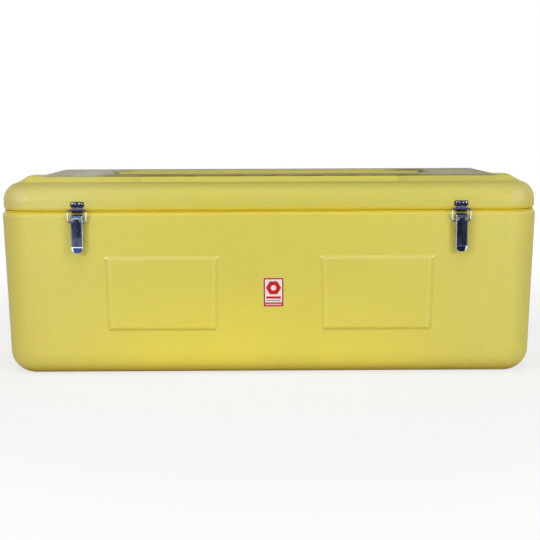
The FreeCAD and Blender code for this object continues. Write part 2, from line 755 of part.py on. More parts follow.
def bail_path(sketch):
    """The middle line of the bail: two inturned toes, round heels, legs, round shoulders, a bar."""
    toe, shoulder = at("bail_toe_radius"), at("bail_corner")
    toe_text = "(lever_width / 2 + bail_side_gap)"
    shoulder_text = "(bail_width / 2 - bail_corner)"
    toe_middle = Vector(-at(toe_text), toe, 0)
    shoulder_middle = Vector(-at(shoulder_text), at(bail_length) - shoulder, 0)
    span = shoulder_middle - toe_middle
    along = Vector(span).normalize()
    part_along = (toe - shoulder) / span.Length
    normal = along * part_along + Vector(-along.y, along.x, 0) * math.sqrt(1 - part_along**2)
    angle = math.degrees(math.atan2(normal.y, normal.x))
    leg = (toe_middle + normal * toe, shoulder_middle + normal * shoulder)
    end = at(wire_end)
    top = at(bail_length)

    def flip(point):
        return Vector(-point.x, point.y, 0)

    def line(start, stop):
        return sketch.addGeometry(Part.LineSegment(start, stop), False)

    chain = [
        (line(Vector(-end, 0, 0), Vector(toe_middle.x, 0, 0)), 1, 2),
        (arc(sketch, toe_middle.x, toe, toe, angle, 270), 2, 1),
        (line(*leg), 1, 2),
        (arc(sketch, shoulder_middle.x, shoulder_middle.y, shoulder, 90, angle), 2, 1),
        (line(Vector(shoulder_middle.x, top, 0), Vector(-shoulder_middle.x, top, 0)), 1, 2),
        (arc(sketch, -shoulder_middle.x, shoulder_middle.y, shoulder, 180 - angle, 90), 2, 1),
        (line(flip(leg[1]), flip(leg[0])), 1, 2),
        (arc(sketch, -toe_middle.x, toe, toe, -90, 180 - angle), 2, 1),
        (line(Vector(-toe_middle.x, 0, 0), Vector(end, 0, 0)), 1, 2),
    ]
    for (first, _, stop), (second, start, _) in zip(chain, chain[1:]):
        sketch.addConstraint(Sketcher.Constraint("Tangent", first, stop, second, start))
    toe_line, toe_arc, _, shoulder_arc, top_line, far_shoulder, _, far_toe, far_line = [
        geometry for geometry, _, _ in chain
    ]
    for flat in (toe_line, top_line, far_line):
        sketch.addConstraint(Sketcher.Constraint("Horizontal", flat))
    fix(sketch, "DistanceX", toe_line, 1, f"-{wire_end}")
    fix(sketch, "DistanceY", toe_line, 1, "0")
    fix(sketch, "DistanceX", far_line, 2, wire_end)
    fix(sketch, "DistanceY", far_line, 2, "0")
    fix(sketch, "DistanceY", top_line, 1, bail_length)
    for geometry, x, size in (
        (toe_arc, f"-{toe_text}", "bail_toe_radius"),
        (far_toe, toe_text, "bail_toe_radius"),
        (shoulder_arc, f"-{shoulder_text}", "bail_corner"),
        (far_shoulder, shoulder_text, "bail_corner"),
    ):
        fix(sketch, "DistanceX", geometry, 3, x)
        rule = Sketcher.Constraint("Radius", geometry, at(size))
        bind(sketch, f"Constraints[{sketch.addConstraint(rule)}]", size)
    document.recompute()


for side, place in latch_places.items():
    latch = front_face * Placement(Vector(at(place), 0, at("-latch_drop")), Rotation())
    keeper_frame = lid_face * Placement(Vector(at(place), 0, keeper_level), Rotation())

    # base plate with two ears that carry the lever's pivot
    base = plate(
        side + "_latch_base",
        "base_width",
        "-base_bottom",
        "base_top",
        "base_corner",
        "base_thickness",
        [("0", "-base_rivet_first"), ("0", "-(base_rivet_first + base_rivet_pitch)")],
    )
    ear_outer = "lever_width / 2 - latch_sheet - ear_clearance"
    for ear, depth in (("a", f"-({ear_outer})"), ("b", f"{ear_outer} - latch_sheet")):
        sketch = new_sketch(base, "YZ_Plane", f"{side}_ear_{ear}", depth)
        polygon(
            sketch,
            [
                ("-(pivot_standoff + ear_radius)", "-ear_radius"),
                ("-base_thickness / 2", "-ear_radius"),
                ("-base_thickness / 2", "ear_radius"),
                ("-(pivot_standoff + ear_radius)", "ear_radius"),
            ],
        )
        extrude(base, "Pad", sketch, f"{side}_ear_{ear}_tab", "latch_sheet")
    ear_tip = at("-(pivot_standoff + ear_radius)")
    fillet(
        base,
        side + "_ear_rounding",
        "ear_round",
        lambda e: inside(e, y=(ear_tip, ear_tip)) and e.BoundBox.XLength > SAME,
    )
    sketch = new_sketch(base, "YZ_Plane", side + "_ear_bore_outline")
    circle(sketch, "-pivot_standoff", "0", "pivot_diameter + 2 * pin_clearance")
    extrude(base, "Pocket", sketch, side + "_ear_bore", "lever_width", middle=True)
    base.Placement = latch

    # the rivet that the lever turns on, with a flat head outside each flange
    half_pin = "lever_width / 2 + 2 * pin_clearance"
    pivot = turned(
        side + "_lever_pivot",
        [
            ("0", f"-({half_pin} + pivot_head_height)"),
            ("pivot_head_diameter / 2", f"-({half_pin} + pivot_head_height)"),
            ("pivot_head_diameter / 2", f"-({half_pin})"),
            ("pivot_diameter / 2", f"-({half_pin})"),
            ("pivot_diameter / 2", half_pin),
            ("pivot_head_diameter / 2", half_pin),
            ("pivot_head_diameter / 2", f"{half_pin} + pivot_head_height"),
            ("0", f"{half_pin} + pivot_head_height"),
        ],
    )
    pivot_frame = latch * Placement(Vector(0, at("-pivot_standoff"), 0), Rotation())
    pivot.Placement = pivot_frame * Placement(Vector(), Rotation(Vector(0, 1, 0), 90))

    # lever: a channel open to the case, with a dished front and a flared finger tab
    lever = new_body(side + "_lever")
    sketch = new_sketch(lever, "YZ_Plane", side + "_lever_profile")
    polygon(
        sketch,
        [
            ("-lever_reach", "lever_top"),
            ("-lever_reach", "-lever_fold"),
            ("-(lever_reach + lever_flare)", "-lever_length"),
            ("-(lever_reach + lever_flare - latch_sheet)", "-lever_length"),
            ("-(lever_reach - latch_sheet)", "-(lever_fold + latch_sheet)"),
            ("lever_tail_reach", "-lever_tail"),
            ("lever_back", "-lever_full"),
            ("lever_back", "0"),
            ("lever_top", "lever_top"),
        ],
    )
    extrude(lever, "Pad", sketch, side + "_lever_block", "lever_width", middle=True)
    top = at("lever_top")
    fillet(
        lever,
        side + "_lever_nose",
        "lever_nose_radius",
        lambda e: inside(e, z=(top, top)) and e.BoundBox.XLength > SAME,
    )
    sketch = new_sketch(lever, "YZ_Plane", side + "_lever_channel_outline")
    polygon(
        sketch,
        [
            ("-(lever_reach - latch_sheet)", "lever_top + overrun"),
            ("-(lever_reach - latch_sheet)", "-(lever_fold - latch_sheet)"),
            ("lever_back + overrun", "-(lever_fold - latch_sheet)"),
            ("lever_back + overrun", "lever_top + overrun"),
        ],
    )
    channel_width = "lever_width - 2 * latch_sheet"
    extrude(lever, "Pocket", sketch, side + "_lever_channel", channel_width, middle=True)
    sketch = new_sketch(lever, "XZ_Plane", side + "_lever_tip_corners", "-lever_back")
    outer_corner(sketch, "lever_width / 2", "-lever_length", "lever_tip_radius", 1)
    outer_corner(sketch, "lever_width / 2", "-lever_length", "lever_tip_radius", -1)
    tab_depth = "lever_back + lever_reach + lever_flare + overrun"
    extrude(lever, "Pocket", sketch, side + "_lever_tip", tab_depth, back=True)
    sketch = new_sketch(lever, "YZ_Plane", side + "_lever_bores")
    circle(sketch, "0", "0", "pivot_diameter + 2 * pin_clearance")
    circle(sketch, bail_pin_y, bail_pin_z, "bail_wire + 2 * pin_clearance")
    extrude(lever, "Pocket", sketch, side + "_lever_holes", "2 * lever_width", middle=True)
    sketch = new_sketch(lever, "XZ_Plane", side + "_dish_outline", "lever_reach")
    rounded_box(
        sketch,
        "-(lever_width / 2 - dish_side)",
        "lever_width / 2 - dish_side",
        "-(lever_fold - dish_bottom)",
        "-dish_top",
        "dish_corner",
    )
    extrude(lever, "Pocket", sketch, side + "_dish", "dish_depth")
    sketch = new_sketch(lever, "XZ_Plane", side + "_bead_outline", "lever_reach")
    rounded_box(
        sketch,
        "-bead_width / 2",
        "bead_width / 2",
        "-bead_bottom",
        "-bead_top",
        "bead_corner",
    )
    extrude(lever, "Pad", sketch, side + "_bead", "dish_depth", back=True)
    lever.Placement = pivot_frame

    # bail: a bent wire whose ends turn in the lever's flanges, its bar in front of the keeper
    bail = new_body(side + "_bail")
    sketch = new_sketch(bail, "XZ_Plane", side + "_bail_path")
    bail_path(sketch)
    ring = new_sketch(bail, "YZ_Plane", side + "_bail_section", f"-({wire_end})")
    circle(ring, "0", "0", "bail_wire")
    pipe = bail.newObject("PartDesign::AdditivePipe", side + "_bail_wire")
    pipe.Profile = ring
    pipe.Spine = (sketch, [f"Edge{i}" for i in range(1, len(sketch.Shape.Edges) + 1)])
    document.recompute()
    lean = Rotation(TURN_X, math.degrees(math.atan2(at(bail_run), at(bail_rise))))
    bail_pin = Vector(at(place), at(f"-case_depth / 2 + {pin_depth}"), at(f"land_height + {pin_level}"))
    bail.Placement = Placement(bail_pin, lean)

    # keeper: a plate on the lid that ends in an upturned hook
    keeper = new_body(side + "_keeper")
    trough = "(keeper_sheet + keeper_trough)"
    lip = "(keeper_sheet + keeper_trough + keeper_lip)"
    hook_floor = "-(hook_bottom - keeper_lip)"
    sketch = new_sketch(keeper, "YZ_Plane", side + "_keeper_profile")
    polygon(
        sketch,
        [
            ("0", "keeper_rise"),
            ("-keeper_sheet", "keeper_rise"),
            ("-keeper_sheet", hook_floor),
            (f"-{trough}", hook_floor),
            (f"-{trough}", "-hook_top"),
            (f"-{lip}", "-hook_top"),
            (f"-{lip}", "-hook_bottom"),
            ("0", "-hook_bottom"),
        ],
    )
    extrude(keeper, "Pad", sketch, side + "_keeper_strip", "keeper_width", middle=True)
    across = at("keeper_width")
    fillet(
        keeper,
        side + "_hook_bore",
        "hook_bore_radius",
        lambda e: level(hook_floor)(e) and abs(e.BoundBox.XLength - across) < SAME,
    )
    fillet(
        keeper,
        side + "_hook_back",
        "hook_radius",
        lambda e: level("-hook_bottom")(e) and abs(e.BoundBox.XLength - across) < SAME,
    )
    sketch = new_sketch(keeper, "XZ_Plane", side + "_keeper_sides", f"{lip} + overrun")
    for sign in ("-", ""):
        polygon(
            sketch,
            [
                (f"{sign}keeper_neck / 2", "-keeper_shoulder"),
                (f"{sign}(keeper_width / 2 + overrun)", "-keeper_shoulder"),
                (f"{sign}(keeper_width / 2 + overrun)", "-(hook_bottom + overrun)"),
                (f"{sign}keeper_hook / 2", "-(hook_bottom + overrun)"),
                (f"{sign}keeper_hook / 2", "-hook_top"),
                (f"{sign}keeper_neck / 2", "-hook_top"),
            ],
        )
    extrude(keeper, "Pocket", sketch, side + "_keeper_waist", f"{lip} + 2 * overrun")
    sketch = new_sketch(keeper, "XZ_Plane", side + "_keeper_bores", "keeper_sheet + overrun")
    for x in ("-keeper_rivet_pitch / 2", "keeper_rivet_pitch / 2"):
        circle(sketch, x, "0", rivet_hole)
    extrude(keeper, "Pocket", sketch, side + "_keeper_holes", "keeper_sheet + 2 * overrun")
    ends = (at("-keeper_width / 2"), at("keeper_width / 2"))
    fillet(
        keeper,
        side + "_keeper_lobes",
        "keeper_lobe",
        lambda e: abs(e.BoundBox.YLength - at("keeper_sheet")) < SAME
        and e.BoundBox.XLength < SAME
        and abs(abs(e.BoundBox.XMax) - ends[1]) < SAME,
    )
    keeper.Placement = keeper_frame

    # rivets hold the base to the case and the keeper to the lid, each over a plate inside
    base_rivets = group(
        side + "_base_rivets",
        latch_rivet,
        [
            latch * Placement(Vector(0, at("-base_thickness"), at(f"-({drop})")), HEAD_FRONT)
            for drop in base_rivet_drops
        ],
    )
    base_backing = plate(
        side + "_base_backing",
        "base_width",
        f"-({base_rivet_drops[1]} + backing_border)",
        f"-({base_rivet_drops[0]} - backing_border)",
        "base_corner",
        "backing_thickness",
        [("0", f"-({drop})") for drop in base_rivet_drops],
    )
    base_backing.Placement = latch * Placement(Vector(0, at(f"{case_skin} + backing_thickness"), 0), Rotation())
    keeper_rivets = group(
        side + "_keeper_rivets",
        keeper_rivet,
        [
            keeper_frame * Placement(Vector(at(x), at("-keeper_sheet"), 0), HEAD_FRONT)
            for x in ("-keeper_rivet_pitch / 2", "keeper_rivet_pitch / 2")
        ],
    )
    keeper_backing = plate(
        side + "_keeper_backing",
        "keeper_rivet_pitch + 2 * backing_border",
        "-backing_border",
        "backing_border",
        "base_corner",
        "backing_thickness",
        [("-keeper_rivet_pitch / 2", "0"), ("keeper_rivet_pitch / 2", "0")],
    )
    keeper_backing.Placement = keeper_frame * Placement(
        Vector(0, at("lid_wall + backing_thickness"), 0), Rotation()
    )
    parts += [base, base_rivets, base_backing, pivot, lever, bail]
    parts += [keeper, keeper_rivets, keeper_backing]

# the hinges: a leaf on the case with two knuckles, a leaf on the lid with one, and a pin
knuckle_side = "(knuckle_length / 2 + knuckle_gap)"
bore = "hinge_pin_diameter + 2 * pin_clearance"
case_leaf_frames = []
lid_leaf_frames = []
for name, place in zip(("left", "middle", "right"), hinge_places):
    axis = Vector(at(place), at(axis_depth), at(axis_height))
    case_leaf_frame = Placement(axis, Rotation(TURN_X, -draft))
    lid_leaf_frame = Placement(axis, Rotation())
    case_leaf_frames.append(case_leaf_frame)
    lid_leaf_frames.append(lid_leaf_frame)

    case_leaf = new_body(name + "_hinge_case_leaf")
    sketch = new_sketch(case_leaf, "XZ_Plane", name + "_case_leaf_outline", leaf_reach)
    polygon(
        sketch,
        [
            ("-hinge_width / 2", "0"),
            ("-hinge_width / 2", "-case_leaf_drop"),
            ("hinge_width / 2", "-case_leaf_drop"),
            ("hinge_width / 2", "0"),
            (knuckle_side, "0"),
            (knuckle_side, "-leaf_relief"),
            (f"-{knuckle_side}", "-leaf_relief"),
            (f"-{knuckle_side}", "0"),
        ],
    )
    extrude(case_leaf, "Pad", sketch, name + "_case_leaf_plate", "leaf_thickness", back=True)
    foot = at("-case_leaf_drop")
    fillet(
        case_leaf,
        name + "_case_leaf_corners",
        "leaf_corner",
        lambda e: inside(e, z=(foot, foot)) and e.BoundBox.XLength < SAME,
    )
    knuckle_run = f"hinge_width / 2 - {knuckle_side}"
    for tag, depth in (("a", "-hinge_width / 2"), ("b", knuckle_side)):
        sketch = new_sketch(case_leaf, "YZ_Plane", f"{name}_case_knuckle_{tag}_ring", depth)
        circle(sketch, "0", "0", "knuckle_diameter")
        extrude(case_leaf, "Pad", sketch, f"{name}_case_knuckle_{tag}", knuckle_run)
    sketch = new_sketch(case_leaf, "YZ_Plane", name + "_case_leaf_bore_ring")
    circle(sketch, "0", "0", bore)
    extrude(case_leaf, "Pocket", sketch, name + "_case_leaf_bore", "2 * hinge_width", middle=True)
    sketch = new_sketch(case_leaf, "XZ_Plane", name + "_case_leaf_holes", leaf_reach)
    for rivet_place in hinge_rivets:
        circle(sketch, rivet_place, "-case_leaf_rivets", rivet_hole)
    extrude(case_leaf, "Pocket", sketch, name + "_case_leaf_bores", "leaf_thickness")
    case_leaf.Placement = case_leaf_frame

    lid_leaf = new_body(name + "_hinge_lid_leaf")
    sketch = new_sketch(lid_leaf, "XZ_Plane", name + "_lid_leaf_outline", "hinge_standoff")
    polygon(
        sketch,
        [
            ("-hinge_width / 2", "leaf_relief"),
            ("-hinge_width / 2", "lid_leaf_top"),
            ("hinge_width / 2", "lid_leaf_top"),
            ("hinge_width / 2", "leaf_relief"),
            ("knuckle_length / 2", "leaf_relief"),
            ("knuckle_length / 2", "0"),
            ("-knuckle_length / 2", "0"),
            ("-knuckle_length / 2", "leaf_relief"),
        ],
    )
    extrude(lid_leaf, "Pad", sketch, name + "_lid_leaf_plate", "leaf_thickness", back=True)
    head = at("lid_leaf_top")
    fillet(
        lid_leaf,
        name + "_lid_leaf_corners",
        "leaf_corner",
        lambda e: inside(e, z=(head, head)) and e.BoundBox.XLength < SAME,
    )
    sketch = new_sketch(lid_leaf, "YZ_Plane", name + "_lid_knuckle_ring")
    circle(sketch, "0", "0", "knuckle_diameter")
    extrude(lid_leaf, "Pad", sketch, name + "_lid_knuckle", "knuckle_length", middle=True)
    sketch = new_sketch(lid_leaf, "YZ_Plane", name + "_lid_leaf_bore_ring")
    circle(sketch, "0", "0", bore)
    extrude(lid_leaf, "Pocket", sketch, name + "_lid_leaf_bore", "2 * hinge_width", middle=True)
    sketch = new_sketch(lid_leaf, "XZ_Plane", name + "_lid_leaf_holes", "hinge_standoff")
    for rivet_place in hinge_rivets:
        circle(sketch, rivet_place, "lid_leaf_rivets", rivet_hole)
    extrude(lid_leaf, "Pocket", sketch, name + "_lid_leaf_bores", "leaf_thickness")
    lid_leaf.Placement = lid_leaf_frame

    half_pin = "hinge_width / 2 + pin_clearance"
    pin = turned(
        name + "_hinge_pin",
        [
            ("0", f"-({half_pin} + hinge_pin_head_height)"),
            ("hinge_pin_head / 2", f"-({half_pin} + hinge_pin_head_height)"),
            ("hinge_pin_head / 2", f"-({half_pin})"),
            ("hinge_pin_diameter / 2", f"-({half_pin})"),
            ("hinge_pin_diameter / 2", half_pin),
            ("hinge_pin_head / 2", half_pin),
            ("hinge_pin_head / 2", f"{half_pin} + hinge_pin_head_height"),
            ("0", f"{half_pin} + hinge_pin_head_height"),
        ],
    )
    pin.Placement = Placement(axis, Rotation(Vector(0, 1, 0), 90))
    parts += [case_leaf, lid_leaf, pin]


def hinge_group(label_text, pattern, frames, depth, rise, turn):
    """One copy of a rivet for each hinge rivet, set in the frames of the hinges."""
    spots = [Vector(at(x), at(depth), at(rise)) for x in hinge_rivets]
    return group(label_text, pattern, [f * Placement(spot, turn) for f in frames for spot in spots])


parts.append(
    hinge_group(
        "hinge_case_rivets",
        case_hinge_rivet,
        case_leaf_frames,
        f"leaf_thickness - ({leaf_reach})",
        "-case_leaf_rivets",
        HEAD_BACK,
    )
)
parts.append(
    hinge_group(
        "hinge_lid_rivets",
        lid_hinge_rivet,
        lid_leaf_frames,
        "leaf_thickness - hinge_standoff",
        "lid_leaf_rivets",
        HEAD_BACK,
    )
)
strip = plate(
    "hinge_backing_strip",
    "2 * (hinge_rivet_pitch + backing_border)",
    "-backing_border",
    "backing_border",
    "base_corner",
    "backing_thickness",
    [(x, "0") for x in hinge_rivets],
)
case_strip = Placement(Vector(0, at(f"-({leaf_reach} + {case_skin})"), at("-case_leaf_rivets")), Rotation())
lid_strip = Placement(Vector(0, at("-(hinge_standoff + lid_wall)"), at("lid_leaf_rivets")), Rotation())
parts.append(group("hinge_case_backings", strip, [f * case_strip for f in case_leaf_frames]))
parts.append(group("hinge_lid_backings", strip, [f * lid_strip for f in lid_leaf_frames]))

document.recompute()
for thing in document.Objects:
    if "Invalid" in thing.State or "Error" in thing.State:
        raise RuntimeError(f"{thing.Label} failed")
for item in parts:
    if item.Shape.isNull() or not item.Shape.isValid():
        raise RuntimeError(f"{item.Label} has no valid shape")
os.makedirs("parts", exist_ok=True)
for item in parts:
    item.Shape.exportStep("parts/" + item.Label + ".step")
    print(item.Label, len(item.Shape.Solids), round(item.Shape.Volume, 1))
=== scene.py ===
import math

import bmesh
import bpy
import numpy as np
from mathutils import Matrix, Vector


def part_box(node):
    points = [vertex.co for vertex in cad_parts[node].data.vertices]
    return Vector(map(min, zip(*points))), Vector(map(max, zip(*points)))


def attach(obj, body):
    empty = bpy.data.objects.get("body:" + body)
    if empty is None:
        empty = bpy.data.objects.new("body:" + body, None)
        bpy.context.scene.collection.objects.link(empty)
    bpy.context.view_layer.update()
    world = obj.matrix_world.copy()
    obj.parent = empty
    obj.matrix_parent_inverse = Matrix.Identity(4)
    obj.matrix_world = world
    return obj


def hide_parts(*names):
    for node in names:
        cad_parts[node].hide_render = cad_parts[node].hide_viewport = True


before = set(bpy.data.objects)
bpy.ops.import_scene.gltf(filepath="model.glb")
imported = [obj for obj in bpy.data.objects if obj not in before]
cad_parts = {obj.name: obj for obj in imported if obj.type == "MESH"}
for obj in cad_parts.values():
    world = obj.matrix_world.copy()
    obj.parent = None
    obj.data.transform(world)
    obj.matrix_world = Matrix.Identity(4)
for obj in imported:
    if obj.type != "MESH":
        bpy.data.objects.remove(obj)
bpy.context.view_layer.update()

# ---------------------------------------------------------------- camera and light

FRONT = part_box("case_shell")[0][1]
FRAME_PIXELS = 540
FOCAL_PIXELS = 1222
SENSOR = 36.0
REACH = 2.702
DOWN = math.radians(7.0)
YAW = math.radians(0.35)
ROLL = math.radians(-0.23)
AIM = Vector((0.0008, FRONT, 0.2382))
WHITE = (1, 1, 1)

# Name, place, target, width and height, watts, tint.
LAMPS = (
    ("left_softbox", (-1.4, -1.95, 0.8), (-0.1, -0.25, 0.22), (0.5, 0.8), 15.4, WHITE),
    ("right_softbox", (1.55, -1.95, 0.8), (0.15, -0.25, 0.22), (0.5, 0.8), 16.2, (1, 0.975, 0.97)),
    ("top_softbox", (-0.2, -1.7, 2.9), (-0.1, -0.5, 0.1), (2.4, 1.4), 31, WHITE),
    ("back_softbox", (0.3, 3.2, 1.6), (0, 0.2, 0.2), (3.0, 1.2), 42, WHITE),
)


def photographer():
    """A level tripod in front of the chest, a little above its lid, looking slightly down."""
    data = bpy.data.cameras.new("viewpoint")
    data.sensor_width = SENSOR
    data.lens = SENSOR * FOCAL_PIXELS / FRAME_PIXELS
    camera = bpy.data.objects.new("viewpoint", data)
    bpy.context.collection.objects.link(camera)
    turn = (
        Matrix.Rotation(-YAW, 4, "Z")
        @ Matrix.Rotation(math.pi / 2 - DOWN, 4, "X")
        @ Matrix.Rotation(ROLL, 4, "Z")
    )
    back = turn @ Vector((0, 0, 1))
    camera.matrix_world = Matrix.Translation(AIM + REACH * back) @ turn
    bpy.context.scene.camera = camera


def lamp(name, place, target, size, watts, tint):
    """A soft rectangular light that faces a point."""
    data = bpy.data.lights.new(name, "AREA")
    data.shape = "RECTANGLE"
    data.size, data.size_y = size
    data.energy = watts
    data.color = tint
    thing = bpy.data.objects.new(name, data)
    thing.location = place
    thing.rotation_euler = (Vector(target) - Vector(place)).to_track_quat("-Z", "Y").to_euler()
    bpy.context.collection.objects.link(thing)


photographer()
for settings in LAMPS:
    lamp(*settings)

# ---------------------------------------------------------------- node helpers


class Paint:
    """One material's nodes, with short calls to add and join them."""

    def __init__(self, name):
        self.material = bpy.data.materials.new(name)
        self.material.use_nodes = True
        self.tree = self.material.node_tree
        self.shader = self.tree.nodes["Principled BSDF"]
        source = self.add("ShaderNodeTexCoord")
        self.place, self.normal = source.outputs["Object"], source.outputs["Normal"]

    def add(self, kind, **settings):
        """A new node with its settings."""
        node = self.tree.nodes.new(kind)
        for key, value in settings.items():
            setattr(node, key, value)
        return node

    def join(self, start, socket):
        """Links an output to an input."""
        self.tree.links.new(start, socket)

    def feed(self, socket, value):
        """Gives an input a number, a colour or another node's output."""
        if isinstance(value, (int, float)):
            socket.default_value = value
        elif isinstance(value, tuple):
            socket.default_value = (*value, 1)
        else:
            self.join(value, socket)

    def set(self, socket, value):
        """A value that is the same all over, on the shader's own socket."""
        self.shader.inputs[socket].default_value = value

    def split(self, vector):
        """The three parts of a vector."""
        node = self.add("ShaderNodeSeparateXYZ")
        self.join(vector, node.inputs[0])
        return node.outputs

    def noise(self, scale, detail=2.0, rough=0.5, stretch=None):
        """Cloudy noise on the piece's own coordinates, a value from about 0.25 to 0.75."""
        node = self.add("ShaderNodeTexNoise")
        node.inputs["Scale"].default_value = scale
        node.inputs["Detail"].default_value = detail
        node.inputs["Roughness"].default_value = rough
        place = self.place
        if stretch:
            mapping = self.add("ShaderNodeMapping")
            mapping.inputs["Scale"].default_value = stretch
            self.join(place, mapping.inputs["Vector"])
            place = mapping.outputs[0]
        self.join(place, node.inputs["Vector"])
        return node.outputs["Fac"]

    def ramp(self, value, low, high, bottom=0.0, top=1.0, kind="SMOOTHSTEP"):
        """A value that goes from bottom to top while another goes from low to high."""
        node = self.add("ShaderNodeMapRange", interpolation_type=kind)
        self.join(value, node.inputs["Value"])
        ends = {"From Min": low, "From Max": high, "To Min": bottom, "To Max": top}
        for key, number in ends.items():
            node.inputs[key].default_value = number
        return node.outputs["Result"]

    def calc(self, operation, first, second=0.0):
        """One step of arithmetic on two values."""
        node = self.add("ShaderNodeMath", operation=operation)
        self.feed(node.inputs[0], first)
        self.feed(node.inputs[1], second)
        return node.outputs[0]

    def times(self, first, *others):
        """The product of several values."""
        for other in others:
            first = self.calc("MULTIPLY", first, other)
        return first

    def rest_of(self, value):
        """What a share leaves: one minus the value."""
        return self.calc("SUBTRACT", 1.0, value)

    def band(self, value, low, high, fall):
        """One where a value lies between two bounds, falling to nothing a short way outside."""
        rise = self.ramp(value, low - fall, low + fall)
        return self.times(rise, self.ramp(value, high - fall, high + fall, 1.0, 0.0))

    def blend(self, share, first, second):
        """A colour between two colours."""
        node = self.add("ShaderNodeMix", data_type="RGBA")
        for number, value in ((0, share), (6, first), (7, second)):
            self.feed(node.inputs[number], value)
        return node.outputs[2]

    def tint(self, share, tone):
        """Takes the colour so far towards a tone."""
        self.colour = self.blend(share, self.colour, tone)

    def bump(self, height, strength, distance, before=None):
        """Small relief, on top of the relief before it."""
        node = self.add("ShaderNodeBump")
        node.inputs["Strength"].default_value = strength
        node.inputs["Distance"].default_value = distance
        self.join(height, node.inputs["Height"])
        if before:
            self.join(before, node.inputs["Normal"])
        self.join(node.outputs[0], self.shader.inputs["Normal"])
        return node.outputs[0]

    def finish(self):
        """Joins the colour and the roughness to the shader and gives the material."""
        self.join(self.colour, self.shader.inputs["Base Color"])
        self.join(self.rough, self.shader.inputs["Roughness"])
        return self.material


def shade(tone, share):
    """A tone made darker, each channel times a share."""
    return tuple(value * share for value in tone)


def heights(level, pair):
    """Two heights from a level: level + each distance of the pair."""
    return level + pair[0], level + pair[1]


# ---------------------------------------------------------------- moulded polyethylene

# Distances from the middle along the chest, for painted bounce light, painted sheen and painted
# shade. Pairs give where a tone begins and where it ends.
BOUNCE_ACROSS, BOUNCE_AT_ENDS = (0.12, 0.50), 0.55
SHEEN_LEFT, SHEEN_RIGHT = (-0.5, -0.2), (0.2, 0.5)
LEFT_SHADE, LEFT_SHADE_SHARE = (-0.60, -0.46), 0.55
LEFT_SHADE_CAST = (0.93, 0.85, 1.15)


def polyethylene(name, tone, pale, bounce_tone, end_sheen, bounce_from, bounce_to, end_sheens, specular):
    """Rotationally moulded skin with painted light: painted bounce light and shade near its low
    edge, most so in the middle, a painted sheen towards the two ends and painted shade on the left
    round, with fine grain and ripples."""
    p = Paint(name)
    p.x, p.y, p.z = p.split(p.place)
    p.across = p.calc("ABSOLUTE", p.x)
    # Painted bounce light and shade: a richer tone near the low edge, strongest in the middle.
    depth = p.ramp(p.z, bounce_from, bounce_to, 1.0, 0.0)
    depth = p.times(depth, p.ramp(p.across, *BOUNCE_ACROSS, 1.0, BOUNCE_AT_ENDS))
    p.colour = p.blend(depth, tone, bounce_tone)
    p.tint(p.ramp(p.noise(3.1, detail=3, rough=0.55), 0.32, 0.68, 0.0, 0.5), pale)
    # Painted sheen: a paler, whiter tone towards the two ends, standing in for a highlight.
    left, right = end_sheens
    sheen_share = p.calc("ADD", p.ramp(p.x, *SHEEN_LEFT, left, 0.0), p.ramp(p.x, *SHEEN_RIGHT, 0.0, right))
    p.tint(sheen_share, end_sheen)
    # Painted shade: a duller, darker tone on the left round.
    left_shade = tuple(value * share for value, share in zip(tone, LEFT_SHADE_CAST))
    p.tint(p.ramp(p.x, *LEFT_SHADE, LEFT_SHADE_SHARE, 0.0), left_shade)
    p.rough = p.ramp(p.noise(9, detail=3, rough=0.6), 0.3, 0.7, 0.34, 0.44)
    ripple = p.bump(p.noise(13), strength=0.12, distance=0.004)
    p.bump(p.noise(1400), strength=0.10, distance=0.0004, before=ripple)
    p.set("Specular IOR Level", specular)
    p.set("Subsurface Weight", 0.3)
    p.set("Subsurface Radius", (1.0, 0.45, 0.1))
    p.set("Subsurface Scale", 0.009)
    return p


SEAM_GLOW_TONE = (0.76, 0.55, 0.016)


def seam_glow(p, level, reach):
    """Painted glow of light bounced inside the seam: a stronger orange tone where the two shells
    meet, strongest at the seam itself.
    """
    away = p.calc("ABSOLUTE", p.calc("SUBTRACT", p.z, level))
    p.tint(p.ramp(away, 0.0, reach, 0.9, 0.0), SEAM_GLOW_TONE)


# The case: its two raised panels, by height, by distance from the middle and by the lean of their
# sides, and the painted shade on the round at its foot.
PANEL_TOP, PANEL_FOOT = 0.2695, 0.1030
PANEL_OUTER, PANEL_INNER = 0.3640, 0.1130
PANEL_LEAN = math.tan(math.radians(1.5))
PANEL_FACE = (-0.235, -0.230)
# Where their painted highlights and shade lie, from the upper or the lower step and from the side
# steps inwards.
TOP_HIGHLIGHT, CORNER_GLINT, FOOT_STEP_SHADE = (-0.0085, 0.0005), (-0.005, -0.001), (-0.002, 0.004)
INSIDE_FROM, CORNER_SIDE = (0.001, 0.003), (-0.0005, 0.0035)
FLANK_SIDE, GROOVE_SIDE = (0.0075, 0.0125), (-0.001, 0.003)
SIDE_ENDS = 0.004
FOOT_ROUND, FOOT_SHADE_SHARE = (0.002, 0.034), 0.85
FOOT_SHADE_TONE = (0.50, 0.34, 0.010)


